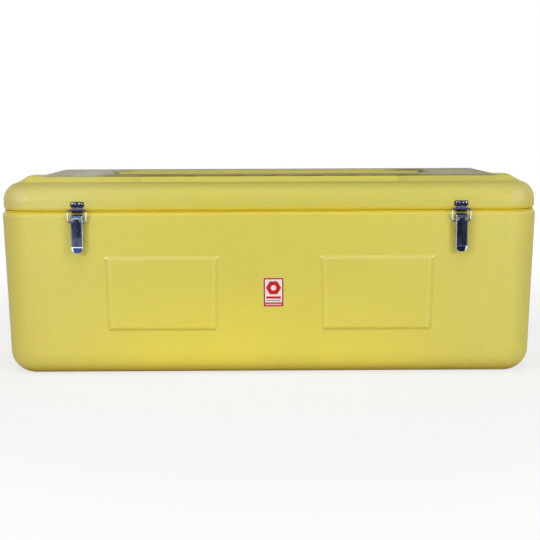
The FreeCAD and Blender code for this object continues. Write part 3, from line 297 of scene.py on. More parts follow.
def panel_edge_light(p):
    """Painted light on the two raised panels: painted highlights along the top step and just inside
    the side steps, painted shade in the side steps and under the foot step, and a painted glint on
    each upper corner."""
    below = p.times(p.calc("SUBTRACT", PANEL_TOP, p.z), PANEL_LEAN)
    from_outer = p.calc("SUBTRACT", p.calc("SUBTRACT", PANEL_OUTER, p.across), below)
    from_inner = p.calc("SUBTRACT", p.calc("SUBTRACT", p.across, PANEL_INNER), below)
    side = p.calc("MINIMUM", from_outer, from_inner)
    front = p.ramp(p.y, *PANEL_FACE, 1.0, 0.0)
    inside = p.times(p.ramp(side, *INSIDE_FROM), front)
    upright = p.times(p.band(p.z, PANEL_FOOT + SIDE_ENDS, PANEL_TOP - SIDE_ENDS, 0.002), front)
    top = p.band(p.z, *heights(PANEL_TOP, TOP_HIGHLIGHT), 0.0015)
    foot = p.band(p.z, *heights(PANEL_FOOT, FOOT_STEP_SHADE), 0.0015)
    flank = p.band(side, *FLANK_SIDE, 0.002)
    groove = p.band(side, *GROOVE_SIDE, 0.0015)
    near_top = p.band(p.z, *heights(PANEL_TOP, CORNER_GLINT), 0.0012)
    corner = p.times(p.band(side, *CORNER_SIDE, 0.0012), near_top)
    # Painted highlights, painted shade and a painted corner glint.
    p.tint(p.times(top, inside, 0.45), (0.66, 0.61, 0.19))
    p.tint(p.times(flank, upright, 0.32), (0.72, 0.66, 0.17))
    p.tint(p.times(groove, upright, 0.22), (0.50, 0.44, 0.06))
    p.tint(p.times(foot, inside, 0.5), (0.56, 0.42, 0.03))
    p.tint(p.times(corner, front, 0.8), (0.84, 0.79, 0.40))


# The lid: heights over its flat, which lies this far below the raised ring's top, and distances
# from the middle. Pairs give where a tone begins and where it is full.
RING_RISE = 0.0142
NEAR_CREST, OVER_CREST, STEP_UP = (-0.03, -0.001), (0.0012, 0.003), (0.0, 0.001)
SLOPE_UP, FLAT_UP = (0.001, 0.004), (-0.02, -0.004)
FACES_UP = (0.88, 0.98)
FACES_PARTLY_UP = (0.5, 0.95)
FACES_A_LITTLE_UP = (0.0, 0.2)
FACES_SIDEWAYS = (0.2, 0.4)
RIM_FROM, RIM_FULL, RIM_WAVER = 0.0032, 0.0016, 0.0012
SLOPE_DEPTH = (-0.07, 0.03)
FRONT_EDGE = (-0.186, -0.178)
TRAY_HALF_DEPTH, TRAY_HALF_LENGTH = 0.08, (0.36, 0.37)
REAR_EDGE = (0.19, 0.20)
CORNER_LENGTH, CORNER_DEPTH = (0.50, 0.52), (-0.13, -0.10)
WIPED_LENGTH, WIPED_DEPTH = (-0.345, 0.30), (0.07, 0.122)
WORN_LEFT, WORN_RIGHT = (-0.41, -0.33), (0.33, 0.40)
RUBBED_LENGTH = (-0.44, -0.355)
REAR_DEPTH = (0.13, 0.165)
FRONT_SLOPE = (-0.165, -0.150)
SLOPE_LIGHT_LENGTH, SLOPE_LIGHT_SHARES = (0.28, 0.42), (0.6, 0.25)
BLOCK_LENGTH, INNER_LENGTH, RIGHT_HALF = (0.287, 0.507), (0.295, 0.345), (-0.1, 0.1)
LID_HIGHLIGHT_LENGTH, LID_HIGHLIGHT_HEIGHT = (0.540, 0.566), (0.388, 0.416)
GRIME_DARK, GRIME_PALE = (0.118, 0.096, 0.024), (0.238, 0.203, 0.066)
WORN_TONE, RUBBED_TONE = (0.47, 0.445, 0.36), (0.68, 0.66, 0.58)
REAR_TONE, CREST_DARKENING_TONE = (0.085, 0.075, 0.035), (0.36, 0.30, 0.05)
SLOPE_LIGHT_TONE, SHADED_TONE = (0.80, 0.74, 0.13), (0.44, 0.40, 0.10)
LID_HIGHLIGHT_TONE = (0.70, 0.65, 0.34)


def dust_share(p, crest, top, sideways, up):
    """How much dust lies where: full on flats, on the ring's rim and on the rear of its end
    slopes, thin in the tray and at the rear edge, and less on the front corners and one wiped
    streak."""
    waver = p.times(p.noise(30), RIM_WAVER)
    rim = p.ramp(p.calc("ADD", p.z, waver), top - RIM_FROM, top - RIM_FULL)
    slope = p.times(
        p.ramp(p.calc("ABSOLUTE", sideways), *FACES_SIDEWAYS),
        p.ramp(p.z, *heights(crest, SLOPE_UP)),
        p.ramp(p.y, *SLOPE_DEPTH),
        p.ramp(up, *FACES_A_LITTLE_UP),
    )
    share = p.calc("MAXIMUM", p.calc("MAXIMUM", p.ramp(up, *FACES_UP), rim), slope)
    tray = p.times(
        p.band(p.y, -TRAY_HALF_DEPTH, TRAY_HALF_DEPTH, 0.004),
        p.ramp(p.across, *TRAY_HALF_LENGTH, 1.0, 0.0),
    )
    sheltered = p.calc("MAXIMUM", tray, p.ramp(p.y, *REAR_EDGE))
    thin = p.ramp(p.noise(16, detail=6, rough=0.7), 0.38, 0.66, 0.9, 0.25)
    corners = p.times(p.ramp(p.across, *CORNER_LENGTH), p.ramp(p.y, *CORNER_DEPTH, 0.75, 0.0))
    wiped = p.times(p.band(p.y, *WIPED_DEPTH, 0.008), p.band(p.x, *WIPED_LENGTH, 0.03), 0.75)
    return p.times(
        share,
        p.ramp(p.z, *heights(crest, FLAT_UP)),
        p.ramp(p.y, *FRONT_EDGE, 0.2, 1.0),
        p.rest_of(p.times(sheltered, thin)),
        p.rest_of(corners),
        p.rest_of(wiped),
    )


def grime_tone(p):
    """The dust's own colour: dark and paler patches, worn pale at the two ends, with rubbed
    spots on the left and a darker strip along the rear."""
    patch = p.ramp(p.noise(13, detail=7, rough=0.72, stretch=(1, 0.6, 1)), 0.38, 0.62)
    grime = p.blend(patch, GRIME_DARK, GRIME_PALE)
    worn = p.calc("ADD", p.ramp(p.x, *WORN_LEFT, 0.65, 0.0), p.ramp(p.x, *WORN_RIGHT, 0.0, 0.31))
    grime = p.blend(worn, grime, WORN_TONE)
    spots = p.ramp(p.noise(80, detail=5, rough=0.7, stretch=(0.4, 1, 1)), 0.46, 0.72)
    grime = p.blend(p.times(spots, p.band(p.x, *RUBBED_LENGTH, 0.02)), grime, RUBBED_TONE)
    return p.blend(p.ramp(p.y, *REAR_DEPTH, 0.0, 0.75), grime, REAR_TONE)


def dust(p, crest, top):
    """Settled dust: it lies on what faces up and along the raised ring's rim, darker in patches,
    over a faint darker tint on partly upward faces below the crest; the ring's front slope is
    painted lighter, as lit, with painted shade near the inner ends of its blocks."""
    sideways, _, up = p.split(p.normal)
    near_crest = p.ramp(p.z, *heights(crest, NEAR_CREST))
    # A faint darker olive tint on partly upward faces just below the ring's crest.
    crest_darkening = p.times(
        p.ramp(up, *FACES_PARTLY_UP, 0.0, 0.16),
        near_crest,
        p.ramp(p.z, *heights(crest, OVER_CREST), 1.0, 0.0),
    )
    p.tint(crest_darkening, CREST_DARKENING_TONE)
    dull = p.times(p.ramp(up, *FACES_PARTLY_UP, 0.0, 0.8), near_crest)
    on_ring = p.ramp(p.z, *heights(crest, STEP_UP))
    # Painted light: the ring's front slope made lighter, as lit, less so at its right end.
    front = p.times(p.ramp(p.y, *FRONT_SLOPE, 1.0, 0.0), on_ring)
    p.tint(p.times(front, p.ramp(p.x, *SLOPE_LIGHT_LENGTH, *SLOPE_LIGHT_SHARES)), SLOPE_LIGHT_TONE)
    # Painted shade on the slope's blocks, strongest near their inner ends, a little more on the
    # right.
    inner_end = p.ramp(p.across, *INNER_LENGTH, 0.24, 0.0)
    slope_shade = p.calc("ADD", inner_end, p.ramp(p.x, *RIGHT_HALF, 0.0, 0.12))
    p.tint(p.times(front, p.band(p.across, *BLOCK_LENGTH, 0.004), slope_shade), SHADED_TONE)
    share = dust_share(p, crest, top, sideways, up)
    p.tint(p.times(share, 0.94), grime_tone(p))
    p.rough = p.calc("MAXIMUM", p.calc("MAXIMUM", p.rough, dull), p.times(share, 0.85))


SEAM = (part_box("lid_seal")[0][2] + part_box("lid_shell")[0][2]) / 2
case_paint = polyethylene(
    "case_polyethylene",
    tone=(0.635, 0.565, 0.088),
    pale=(0.655, 0.595, 0.10),
    bounce_tone=(0.81, 0.69, 0.084),
    end_sheen=(0.645, 0.575, 0.145),
    bounce_from=0.03,
    bounce_to=0.26,
    end_sheens=(0.5, 0.5),
    specular=0.42,
)
panel_edge_light(case_paint)
seam_glow(case_paint, SEAM, reach=0.008)
# Painted shade: a darker orange tone on the round at the case's foot.
case_paint.tint(case_paint.ramp(case_paint.z, *FOOT_ROUND, FOOT_SHADE_SHARE, 0.0), FOOT_SHADE_TONE)
case_skin = case_paint.finish()

lid_paint = polyethylene(
    "lid_polyethylene",
    tone=(0.61, 0.55, 0.108),
    pale=(0.63, 0.575, 0.122),
    bounce_tone=(0.60, 0.515, 0.078),
    end_sheen=(0.65, 0.59, 0.22),
    bounce_from=SEAM,
    bounce_to=SEAM + 0.03,
    end_sheens=(0.5, 0.15),
    specular=0.25,
)
# Painted highlight: a pale streak on each end of the lid, near its corners.
lid_highlight = lid_paint.times(
    lid_paint.band(lid_paint.across, *LID_HIGHLIGHT_LENGTH, 0.014),
    lid_paint.band(lid_paint.z, *LID_HIGHLIGHT_HEIGHT, 0.010),
    0.45,
)
lid_paint.tint(lid_highlight, LID_HIGHLIGHT_TONE)
seam_glow(lid_paint, SEAM, reach=0.012)
lid_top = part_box("lid_shell")[1][2]
dust(lid_paint, lid_top - RING_RISE, lid_top)
lid_skin = lid_paint.finish()

# ---------------------------------------------------------------- zinc plate, foam and film

STAIN_CAST = (0.8, 0.85, 1.0)
# The bail and the keeper: distances from a top or a foot, where a tone begins and where it ends.
BAR_BAND, TOE_BAND = (-0.0085, -0.0040), (0.004, 0.008)
NECK_BAND = (-0.0165, -0.0125)


def zinc(name, tone, rough):
    """Bright zinc plate: bluish, streaked by the press and a little stained."""
    p = Paint(name)
    p.set("Metallic", 1.0)
    stain = p.ramp(p.noise(160, detail=4, rough=0.6), 0.35, 0.7)
    warm = tuple(value * share for value, share in zip(tone, STAIN_CAST))
    p.colour = p.blend(p.times(stain, 0.6), tone, warm)
    grain = p.noise(420, detail=3, rough=0.6)
    p.rough = p.ramp(grain, 0.3, 0.7, rough - 0.06, rough + 0.1)
    p.bump(p.noise(700, detail=3, rough=0.6, stretch=(0.15, 1, 1)), strength=0.1, distance=0.0003)
    return p.finish()


def plated(name, rough):
    """A polished zinc finish whose tone is set by its caller, with press streaks in its gloss."""
    p = Paint(name)
    p.set("Metallic", 1.0)
    p.x, p.y, p.z = p.split(p.place)
    grain = p.noise(420, detail=3, rough=0.6)
    p.rough = p.ramp(grain, 0.3, 0.7, rough - 0.05, rough + 0.08)
    p.bump(p.noise(260, detail=3, rough=0.6, stretch=(1, 1, 0.3)), strength=0.12, distance=0.0005)
    return p


# The lever: its fold lies this far below its top, and its tip narrows from the fold to its end.
FOLD_DROP = 0.0688
LEVER_HALF = 0.013
TIP_NARROWING, TIP_POWER = 0.36, 1.5
# Its painted reflections and highlights, by distance from its top, by distance from its fold and
# by distance from its middle.
TOP_BAND, GLINT_BAND = (-0.0050, -0.0035), (-0.0068, -0.0050)
LOW_BAND, TIP_BAND, LINE_BAND = (0.003, 0.021), (-0.001, 0.0), (-0.0012, 0.0008)
BRIGHT_RIM, DIM_RIM, DIM_SHARE = (0.0102, 0.0116), (-0.0122, -0.0102), 0.32
TIP_EDGE = (0.66, 0.78)
DISH_DARK_REFLECTION, DISH_PALE_REFLECTION = (0.022, 0.028, 0.060), (0.085, 0.10, 0.165)
LEVER_TOP_REFLECTION, LEVER_TIP_REFLECTION = (0.09, 0.17, 0.33), (0.035, 0.065, 0.20)
LEVER_LOW_REFLECTION = (0.16, 0.19, 0.29)
GLINT_TONE, FOLD_HIGHLIGHT_TONE = (0.80, 0.82, 0.86), (0.86, 0.88, 0.90)
RIM_HIGHLIGHT_TONE, TIP_RIM_HIGHLIGHT_TONE = (0.50, 0.56, 0.56), (0.80, 0.84, 0.84)


def lever_zinc(side, inner, glint_share, fold_highlight_share, depth):
    """Plated lever with painted reflections: dark in its dish, with a blue top and tip, and painted
    highlights on its rims and fold. Its inner rim has the brighter painted highlight, and depth
    darkens the painted reflections, so that one lever is a shaded copy of the other."""
    p = plated(f"{side}_lever_zinc", rough=0.26)
    low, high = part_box(f"{side}_lever")
    middle, top, fold = (low[0] + high[0]) / 2, high[2], high[2] - FOLD_DROP
    inward = p.times(p.calc("SUBTRACT", p.x, middle), inner)
    swirl = p.ramp(p.noise(120, detail=4, rough=0.6, stretch=(1, 1, 0.35)), 0.35, 0.68)
    p.colour = p.blend(swirl, shade(DISH_DARK_REFLECTION, depth), shade(DISH_PALE_REFLECTION, depth))
    p.tint(p.ramp(p.z, *heights(top, TOP_BAND)), shade(LEVER_TOP_REFLECTION, depth))
    # Painted glint just below the top, broken up by noise.
    broken = p.ramp(p.noise(300, stretch=(1, 1, 0.2)), 0.35, 0.55, 0.3, 1.0)
    glint = p.band(p.z, *heights(top, GLINT_BAND), 0.0005)
    p.tint(p.times(glint, broken, glint_share), GLINT_TONE)
    above_fold = p.band(p.z, *heights(fold, LOW_BAND), 0.004)
    p.tint(p.times(above_fold, 0.4), shade(LEVER_LOW_REFLECTION, depth ** 2))
    tip = p.ramp(p.z, *heights(fold, TIP_BAND), 1.0, 0.0)
    p.tint(tip, shade(LEVER_TIP_REFLECTION, depth ** 2))
    # Painted highlight along the tip's outer edge, and on the rims and fold below.
    fall = p.calc("POWER", p.ramp(p.z, low[2], fold, 1.0, 0.0, "LINEAR"), TIP_POWER)
    narrowed = p.rest_of(p.times(fall, TIP_NARROWING))
    edge = p.calc("DIVIDE", p.times(inward, -1 / LEVER_HALF), narrowed)
    p.tint(p.times(p.ramp(edge, *TIP_EDGE), tip, 0.85), TIP_RIM_HIGHLIGHT_TONE)
    dim = p.ramp(inward, *DIM_RIM, DIM_SHARE, 0.0)
    rim = p.calc("MAXIMUM", p.ramp(inward, *BRIGHT_RIM), dim)
    p.tint(p.times(rim, 0.85), RIM_HIGHLIGHT_TONE)
    line = p.band(p.z, *heights(fold, LINE_BAND), 0.0004)
    p.tint(p.times(line, fold_highlight_share), FOLD_HIGHLIGHT_TONE)
    return p.finish()


def bail_zinc(side):
    """Plated wire with painted reflections: bright on its two legs, darker over the bar and at the
    toes.
    """
    p = plated(f"{side}_bail_zinc", rough=0.16)
    low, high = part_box(f"{side}_bail")
    bar = p.ramp(p.z, *heights(high[2], BAR_BAND))
    toe = p.ramp(p.z, *heights(low[2], TOE_BAND), 0.85, 0.0)
    # Painted reflections: bright on the legs, nearly black over the bar and toes.
    p.colour = p.blend(p.calc("MAXIMUM", bar, toe), (0.90, 0.92, 0.93), (0.055, 0.05, 0.10))
    return p.finish()


def keeper_zinc(side):
    """Plated hook plate with painted reflections: nearly black round its rivets, with a paler neck
    above the hook.
    """
    p = plated(f"{side}_keeper_zinc", rough=0.24)
    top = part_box(f"{side}_keeper")[1][2]
    swirl = p.ramp(p.noise(200, detail=4, rough=0.6), 0.35, 0.68)
    p.colour = p.blend(swirl, (0.020, 0.022, 0.045), (0.07, 0.075, 0.12))
    neck = p.band(p.z, *heights(top, NECK_BAND), 0.0008)
    # Painted reflection: a paler band on the neck.
    p.tint(p.times(neck, 0.75), (0.27, 0.28, 0.42))
    return p.finish()


def head_zinc():
    """Domed heads: a near-black painted reflection, with a painted highlight on the upper left and
    upper right of each.
    """
    p = plated("head_zinc", rough=0.14)
    sideways, _, up = p.split(p.normal)
    highlight_height = p.band(up, 0.14, 0.42, 0.06)
    highlight_side = p.band(p.calc("ABSOLUTE", sideways), 0.08, 0.5, 0.05)
    p.colour = p.blend(p.times(highlight_height, highlight_side), (0.045, 0.045, 0.09), (0.88, 0.88, 0.92))
    return p.finish()


def foam():
    """Closed-cell foam rubber: nearly black, matt and pitted."""
    p = Paint("foam_rubber")
    cells = p.ramp(p.noise(900), 0.35, 0.65)
    tone = p.blend(cells, (0.012, 0.012, 0.013), (0.03, 0.03, 0.03))
    p.join(tone, p.shader.inputs["Base Color"])
    p.set("Roughness", 0.85)
    p.bump(p.noise(1800), strength=0.5, distance=0.0005)
    return p.material


def film(name, tone, worn):
    """Printed vinyl film, slightly uneven in its colour and gloss."""
    p = Paint(name)
    p.colour = p.blend(p.ramp(p.noise(220, detail=3), 0.3, 0.7), tone, worn)
    p.rough = p.ramp(p.noise(90), 0.3, 0.7, 0.26, 0.38)
    p.set("Specular IOR Level", 0.25)
    return p.finish()


pressed_zinc = zinc("pressed_zinc", (0.14, 0.155, 0.20), 0.2)
rivet_zinc = zinc("rivet_zinc", (0.40, 0.42, 0.48), 0.16)
hinge_zinc = zinc("hinge_zinc", (0.46, 0.48, 0.52), 0.26)
dull_zinc = zinc("dull_zinc", (0.5, 0.52, 0.54), 0.38)
# A near-black finish: painted shade for the eyelets' hollows.
painted_hole_shade = zinc("painted_hole_shade", (0.02, 0.022, 0.04), 0.3)
domed_zinc = head_zinc()

SIDES = ("left", "right")
FINISHES = {
    "case_shell": case_skin,
    "lid_shell": lid_skin,
    "lid_seal": foam(),
    "front_label": film("label_white", (0.80, 0.77, 0.74), (0.74, 0.70, 0.67)),
    # The right lever is painted as a darker, shaded copy of the left, with fainter painted
    # highlights.
    "left_lever": lever_zinc("left", inner=1, glint_share=0.95, fold_highlight_share=0.9, depth=1.0),
    "right_lever": lever_zinc("right", inner=-1, glint_share=0.35, fold_highlight_share=0.08, depth=0.45),
}
for side in SIDES:
    FINISHES[f"{side}_bail"] = bail_zinc(side)
    FINISHES[f"{side}_keeper"] = keeper_zinc(side)
    FINISHES[f"{side}_keeper_rivets"] = domed_zinc
for node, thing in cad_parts.items():
    if node in FINISHES:
        coat = FINISHES[node]
    elif "backing" in node:
        coat = dull_zinc
    elif "rivet" in node or node.endswith("_pin"):
        coat = rivet_zinc
    elif "hinge" in node:
        coat = hinge_zinc
    else:
        coat = pressed_zinc
    for place in thing.material_slots:
        place.material = coat

# ---------------------------------------------------------------- floor and background

FLOOR_HALF = 8.0
FLOOR_TONE = (0.86, 0.86, 0.86)
FADE_REACH, FADE_SHARES = (0.75, 2.2), (0.72, 1.0)
AIR_LIGHT, AIR_SEEN = 0.22, 1.0


def studio_floor():
    """A pale floor that keeps the chest's shadow and fades to white for the camera."""
    mesh = bpy.data.meshes.new("studio_floor")
    corners = [(-1, -1), (1, -1), (1, 1), (-1, 1)]
    mesh.from_pydata([(x * FLOOR_HALF, y * FLOOR_HALF, 0) for x, y in corners], [], [(0, 1, 2, 3)])
    floor = bpy.data.objects.new("studio_floor", mesh)
    bpy.context.collection.objects.link(floor)
    p = Paint("studio_floor")
    p.set("Base Color", (*FLOOR_TONE, 1))
    p.set("Roughness", 0.9)
    glow = p.add("ShaderNodeEmission")
    glow.inputs["Color"].default_value = (*WHITE, 1)
    mix = p.add("ShaderNodeMixShader")
    seen = p.add("ShaderNodeLightPath").outputs["Is Camera Ray"]
    reach = p.add("ShaderNodeVectorMath", operation="LENGTH")
    p.join(p.place, reach.inputs[0])
    fade = p.ramp(reach.outputs["Value"], *FADE_REACH, *FADE_SHARES)
    p.join(p.times(seen, fade), mix.inputs[0])
    p.join(p.shader.outputs[0], mix.inputs[1])
    p.join(glow.outputs[0], mix.inputs[2])
    p.join(mix.outputs[0], p.tree.nodes["Material Output"].inputs["Surface"])
    mesh.materials.append(p.material)


def studio_air():
    """A dim even light on the chest, and white for what the camera, gloss and glass see."""
    world = bpy.data.worlds.new("studio_air")
    bpy.context.scene.world = world
    world.use_nodes = True
    tree = world.node_tree
    tree.nodes.clear()
    output = tree.nodes.new("ShaderNodeOutputWorld")
    rays = tree.nodes.new("ShaderNodeLightPath")
    seen = rays.outputs["Is Camera Ray"]
    for ray in ("Is Glossy Ray", "Is Transmission Ray"):
        either = tree.nodes.new("ShaderNodeMath")
        either.operation = "MAXIMUM"
        tree.links.new(seen, either.inputs[0])
        tree.links.new(rays.outputs[ray], either.inputs[1])
        seen = either.outputs[0]
    level = tree.nodes.new("ShaderNodeMapRange")
    tree.links.new(seen, level.inputs["Value"])
    level.inputs["To Min"].default_value = AIR_LIGHT
    level.inputs["To Max"].default_value = AIR_SEEN
    air = tree.nodes.new("ShaderNodeBackground")
    air.inputs["Color"].default_value = (*WHITE, 1)
    tree.links.new(level.outputs[0], air.inputs["Strength"])
    tree.links.new(air.outputs[0], output.inputs["Surface"])


studio_floor()
studio_air()
bpy.context.scene.view_settings.view_transform = "Standard"

# ---------------------------------------------------------------- helpers for new pieces

CORNER_SIGNS = np.array([[1, 1], [-1, 1], [-1, -1], [1, -1]])


def solid(name, points, faces, coat, body, smooth=False):
    """A mesh piece from finished points, on one body and with one finish."""
    mesh = bpy.data.meshes.new(name)
    mesh.from_pydata(np.asarray(points, float).tolist(), [], [list(map(int, f)) for f in faces])
    mesh.validate()
    mesh.polygons.foreach_set("use_smooth", [smooth] * len(mesh.polygons))
    mesh.materials.append(coat)
    thing = bpy.data.objects.new(name, mesh)
    bpy.context.collection.objects.link(thing)
    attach(thing, body)
    return thing


def outward(thing):
    """Turns a closed piece's faces so that they point outwards."""
    shape = bmesh.new()
    shape.from_mesh(thing.data)
    bmesh.ops.recalc_face_normals(shape, faces=shape.faces)
    shape.to_mesh(thing.data)
    shape.free()


def ring_faces(rows, columns, close_rows=False):
    """Quads between the rings of a grid whose columns close round."""
    steps = np.arange(rows - (not close_rows)), np.arange(columns)
    row, column = np.meshgrid(*steps, indexing="ij")
    here, beyond = row * columns, (row + 1) % rows * columns
    highlight_side = (column + 1) % columns
    quads = [here + column, here + highlight_side, beyond + highlight_side, beyond + column]
    return np.stack(quads, -1).reshape(-1, 4)


def corner_turns(steps):
    """Angles of four quarter circles, one row of steps for each."""
    return np.linspace(0, np.pi / 2, steps)[None, :] + np.arange(4)[:, None] * np.pi / 2


def round_rectangle(half_width, half_height, radius, steps=8):
    """Points round a rectangle with round corners: corner centre + radius * (cos, sin), quarter
    circle by quarter circle."""
    middles = CORNER_SIGNS * [half_width - radius, half_height - radius]
    angles = corner_turns(steps)
    curve = np.stack([np.cos(angles), np.sin(angles)], -1) * radius + middles[:, None, :]
    return curve.reshape(-1, 2)


# ---------------------------------------------------------------- pressed metal with rounded edges

EDGE_ANGLE = math.radians(32)
FLAT_ANGLE = math.radians(0.8)
WELD = 2e-6
LATCH_EDGE, HINGE_EDGE = 0.00035, 0.0004


def taper(mesh, box):
    """Narrows the lever's tip: x = middle + (x - middle) * (1 - narrowing * t ** power), where t
    runs from 0 at the fold to 1 at the end."""
    low, high = box
    middle, fold = (low[0] + high[0]) / 2, high[2] - FOLD_DROP
    points = np.empty(len(mesh.vertices) * 3)
    mesh.vertices.foreach_get("co", points)
    points = points.reshape(-1, 3)
    t = np.clip((fold - points[:, 2]) / (fold - low[2]), 0, 1)
    points[:, 0] = middle + (points[:, 0] - middle) * (1 - TIP_NARROWING * t ** TIP_POWER)
    mesh.vertices.foreach_set("co", points.ravel())
    mesh.update()


def formed(node, radius, body):
    """A copy of a pressed metal node with its cut edges rounded over, which stands for the node."""
    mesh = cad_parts[node].data.copy()
    shape = bmesh.new()
    shape.from_mesh(mesh)
    bmesh.ops.remove_doubles(shape, verts=shape.verts, dist=WELD)
    bmesh.ops.dissolve_limit(
        shape, angle_limit=FLAT_ANGLE, verts=shape.verts, edges=shape.edges, delimit={"NORMAL"}
    )
    shape.to_mesh(mesh)
    shape.free()
    if node.endswith("_lever"):
        taper(mesh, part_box(node))
    if "custom_normal" in mesh.attributes:
        mesh.attributes.remove(mesh.attributes["custom_normal"])
    mesh.polygons.foreach_set("use_smooth", [True] * len(mesh.polygons))
    mesh.set_sharp_from_angle(angle=EDGE_ANGLE)
    thing = bpy.data.objects.new(node + "_formed", mesh)
    bpy.context.collection.objects.link(thing)
    rounding = thing.modifiers.new("rounding", "BEVEL")
    rounding.width = radius
    rounding.segments = 2
    rounding.limit_method = "ANGLE"
    rounding.angle_limit = EDGE_ANGLE
    rounding.harden_normals = True
    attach(thing, body)
    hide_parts(node)


for side in SIDES:
    formed(f"{side}_latch_base", LATCH_EDGE, "case")
    formed(f"{side}_lever", LATCH_EDGE, f"{side}_lever_arm")
    formed(f"{side}_keeper", LATCH_EDGE, "lid")
for place in ("left", "middle", "right"):
    formed(f"{place}_hinge_case_leaf", HINGE_EDGE, "case")
    formed(f"{place}_hinge_lid_leaf", HINGE_EDGE, "lid")

# ---------------------------------------------------------------- the bead behind the case's rim

LEAN = math.radians(2.0)
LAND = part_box("lid_seal")[0][2]
RIM_CORNER, RIM_STEPS = 0.075, 25
BEAD_OUTER, BEAD_INNER = 0.0050, 0.0076
BEAD_TOP, BEAD_ROUND, BEAD_STEPS = 0.0016, 0.0008, 5
BEAD_OUTER_FOOT, BEAD_INNER_FOOT = -0.0022, -0.0012


def bead_section():
    """The bead's profile as insets from the rim and heights over the land: two feet, joined by
    two quarter circles of one radius at the top."""
    bend = np.linspace(0, np.pi / 2, BEAD_STEPS)
    rise, run, level = BEAD_ROUND * np.sin(bend), BEAD_ROUND * np.cos(bend), BEAD_TOP - BEAD_ROUND
    outer = np.stack([BEAD_OUTER + BEAD_ROUND - run, level + rise], -1)
    inner = np.stack([BEAD_INNER - BEAD_ROUND + rise, level + run], -1)
    feet = [[BEAD_OUTER, BEAD_OUTER_FOOT]], [[BEAD_INNER, BEAD_INNER_FOOT]]
    return np.concatenate([feet[0], outer, inner, feet[1]])


def rim_bead():
    """A thin moulded bead in the seam, carried round the rim's plan, a rectangle with round
    corners. A point is corner centre + normal * (corner radius - inset), at its own height."""
    low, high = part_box("case_shell")
    half = np.array([max(abs(low[0]), high[0]), abs(FRONT)])
    angle = corner_turns(RIM_STEPS).ravel()
    base = np.repeat(CORNER_SIGNS * (half - RIM_CORNER), RIM_STEPS, axis=0)
    normal = np.stack([np.cos(angle), np.sin(angle)], -1)
    section = bead_section()
    plan = base[:, None, :] + normal[:, None, :] * (RIM_CORNER - section[None, :, :1])
    height = np.broadcast_to(LAND + section[None, :, 1:], plan.shape[:2] + (1,))
    points = np.concatenate([plan, height], -1)
    faces = ring_faces(*points.shape[:2], close_rows=True)
    piece = solid("rim_bead", points.reshape(-1, 3), faces, case_skin, "case", smooth=True)
    outward(piece)


rim_bead()

# ---------------------------------------------------------------- rolled eyelets at the lever's top

# Radius and height over the lever's face, from the middle of the hollow to the outer foot.
EYELET_PROFILE = np.array([
    (0.0001, 0.00008), (0.0014, 0.00008), (0.0018, 0.0002), (0.0020, 0.0005),
    (0.0023, 0.00068), (0.0026, 0.0006), (0.0029, 0.0003), (0.0031, -0.0003),
])
EYELET_STEPS, HOLLOW_RINGS = 28, 3
EYELET_DROP, EYELET_SPACING, LEVER_FACE = 0.0168, 0.0088, 0.0171


def eyelets(side):
    """Two pressed eyelets on the lever's face: a low ring round a hollow painted near black as
    shade, a profile turned about the face's normal and laid on the leaning front."""
    around = np.arange(EYELET_STEPS) * 2 * np.pi / EYELET_STEPS
    radius, out = EYELET_PROFILE[:, :1], EYELET_PROFILE[:, 1:]
    up = -EYELET_DROP + radius * np.sin(around)
    depth = np.broadcast_to(-(LEVER_FACE + out), up.shape)
    low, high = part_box(f"{side}_lever")
    rows, columns = up.shape
    faces = ring_faces(rows, columns).tolist() + [list(range(columns))]
    faces += [list(range((rows - 1) * columns, rows * columns))[::-1]]
    for number, offset in enumerate((-EYELET_SPACING, EYELET_SPACING)):
        place = np.stack([
            (low[0] + high[0]) / 2 + offset + radius * np.cos(around),
            FRONT + depth * math.cos(LEAN) - up * math.sin(LEAN),
            LAND + up * math.cos(LEAN) + depth * math.sin(LEAN),
        ], -1)
        name, body = f"{side}_lever_eyelet_{number + 1}", f"{side}_lever_arm"
        piece = solid(name, place.reshape(-1, 3), faces, rivet_zinc, body, smooth=True)
        mesh = piece.data
        # The hollow's faces get the painted shade.
        mesh.materials.append(painted_hole_shade)
        hollow = [max(face.vertices) < HOLLOW_RINGS * columns for face in mesh.polygons]
        mesh.polygons.foreach_set("material_index", np.array(hollow, int))
        outward(piece)


for side in SIDES:
    eyelets(side)

# ---------------------------------------------------------------- the label's print

label_low, label_high = (np.array(corner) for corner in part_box("front_label"))
LABEL_MIDDLE = (label_low + label_high) / 2
FILM, INK = 0.0003, 0.00006
INSET, BORDER, GAP = 0.0004, 0.0032, 0.0002
HALF_WIDTH = (label_high[0] - label_low[0]) / 2 - INSET
HALF_HEIGHT = (label_high[2] - label_low[2]) / 2 / math.cos(LEAN) - INSET
OUTER_CORNER, INNER_CORNER, BAND_CORNER = 0.0014, 0.0008, 0.0004
FOOT_HALF = 0.0030
# Half length, half height, corner radius and level of each plain rule.
FOOT_RULE = (0.0178, 0.0012, 0.0005, -0.0272)
WIDE_RULE = (0.0162, 0.0026, 0.0008, -0.0118)
THIN_RULE = (0.0158, 0.0009, 0.0004, -0.0186)
NUT_MIDDLE, NUT_HALF, NUT_HOLE, NUT_POINTS = [0, 0.0100], 0.0146, 0.0060, 48


def on_label(flat, proud):
    """Flat label points laid on the leaning front, a little proud of the film."""
    x, up = flat[:, 0], flat[:, 1]
    out = FILM / 2 + proud
    y = LABEL_MIDDLE[1] - up * math.sin(LEAN) - out * math.cos(LEAN)
    z = LABEL_MIDDLE[2] + up * math.cos(LEAN) - out * math.sin(LEAN)
    return np.stack([LABEL_MIDDLE[0] + x, y, z], -1)


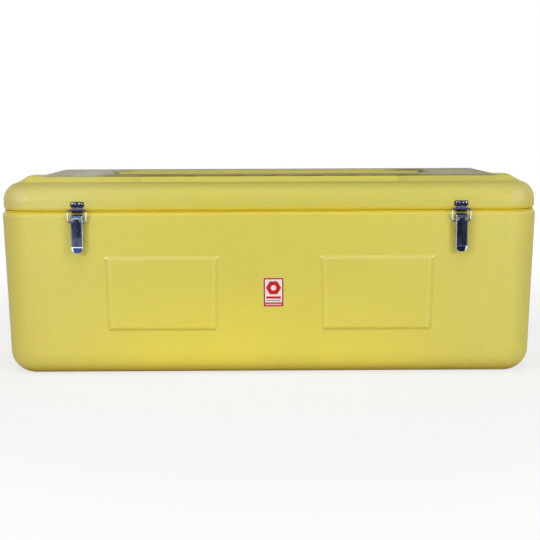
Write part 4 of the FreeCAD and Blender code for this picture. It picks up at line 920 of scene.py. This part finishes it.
def print_ring(name, outer, inner, ink):
    """A printed band between two outlines with the same number of points."""
    rings = [on_label(inner, 0), on_label(inner, INK), on_label(outer, INK), on_label(outer, 0)]
    faces = ring_faces(len(rings), len(outer), close_rows=True)
    solid(name, np.concatenate(rings), faces, ink, "case")


def print_patch(name, outline, ink, under=0.0):
    """A printed patch inside one outline, on the film or on the ink that lies under it."""
    count = len(outline)
    points = np.concatenate([on_label(outline, under), on_label(outline, under + INK)])
    faces = [list(face[::-1]) for face in ring_faces(2, count)]
    faces += [list(range(count, 2 * count))[::-1], list(range(count))]
    solid(name, points, faces, ink, "case")


def turned(radius):
    """Points round the nut's middle, middle + radius * (cos, sin), for one radius or for each."""
    angles = np.arange(NUT_POINTS) * 2 * np.pi / NUT_POINTS
    ring = np.stack([np.cos(angles), np.sin(angles)], -1) * np.reshape(radius, (-1, 1))
    return ring + NUT_MIDDLE


def nut_outline():
    """A hexagon by its half width across flats: radius = half width / cos(angle from a flat)."""
    degrees = np.arange(NUT_POINTS) * 360 / NUT_POINTS % 60 - 30
    return turned(NUT_HALF / np.cos(np.radians(degrees)))


def rule(half_length, half_height, radius, level):
    """A plain printed rule's outline at a height on the label."""
    return round_rectangle(half_length, half_height, radius) + [0, level]


ink_red = film("ink_red", (0.55, 0.012, 0.014), (0.44, 0.010, 0.012))
ink_slate = film("ink_slate", (0.05, 0.14, 0.17), (0.07, 0.16, 0.20))
ink_pale = film("ink_pale", (0.78, 0.48, 0.46), (0.74, 0.42, 0.40))
border_outside = round_rectangle(HALF_WIDTH, HALF_HEIGHT, OUTER_CORNER)
border_inside = round_rectangle(HALF_WIDTH - BORDER, HALF_HEIGHT - BORDER, INNER_CORNER)
foot_level = BORDER + GAP + FOOT_HALF - HALF_HEIGHT
foot_band = rule(HALF_WIDTH - BORDER - GAP, FOOT_HALF, BAND_CORNER, foot_level)
print_ring("label_border", border_outside, border_inside, ink_red)
print_patch("label_foot_band", foot_band, ink_red)
print_patch("label_foot_rule", rule(*FOOT_RULE), ink_pale, under=INK)
print_ring("label_nut", nut_outline(), turned(NUT_HOLE), ink_red)
print_patch("label_rule_1", rule(*WIDE_RULE), ink_red)
print_patch("label_rule_2", rule(*THIN_RULE), ink_slate)
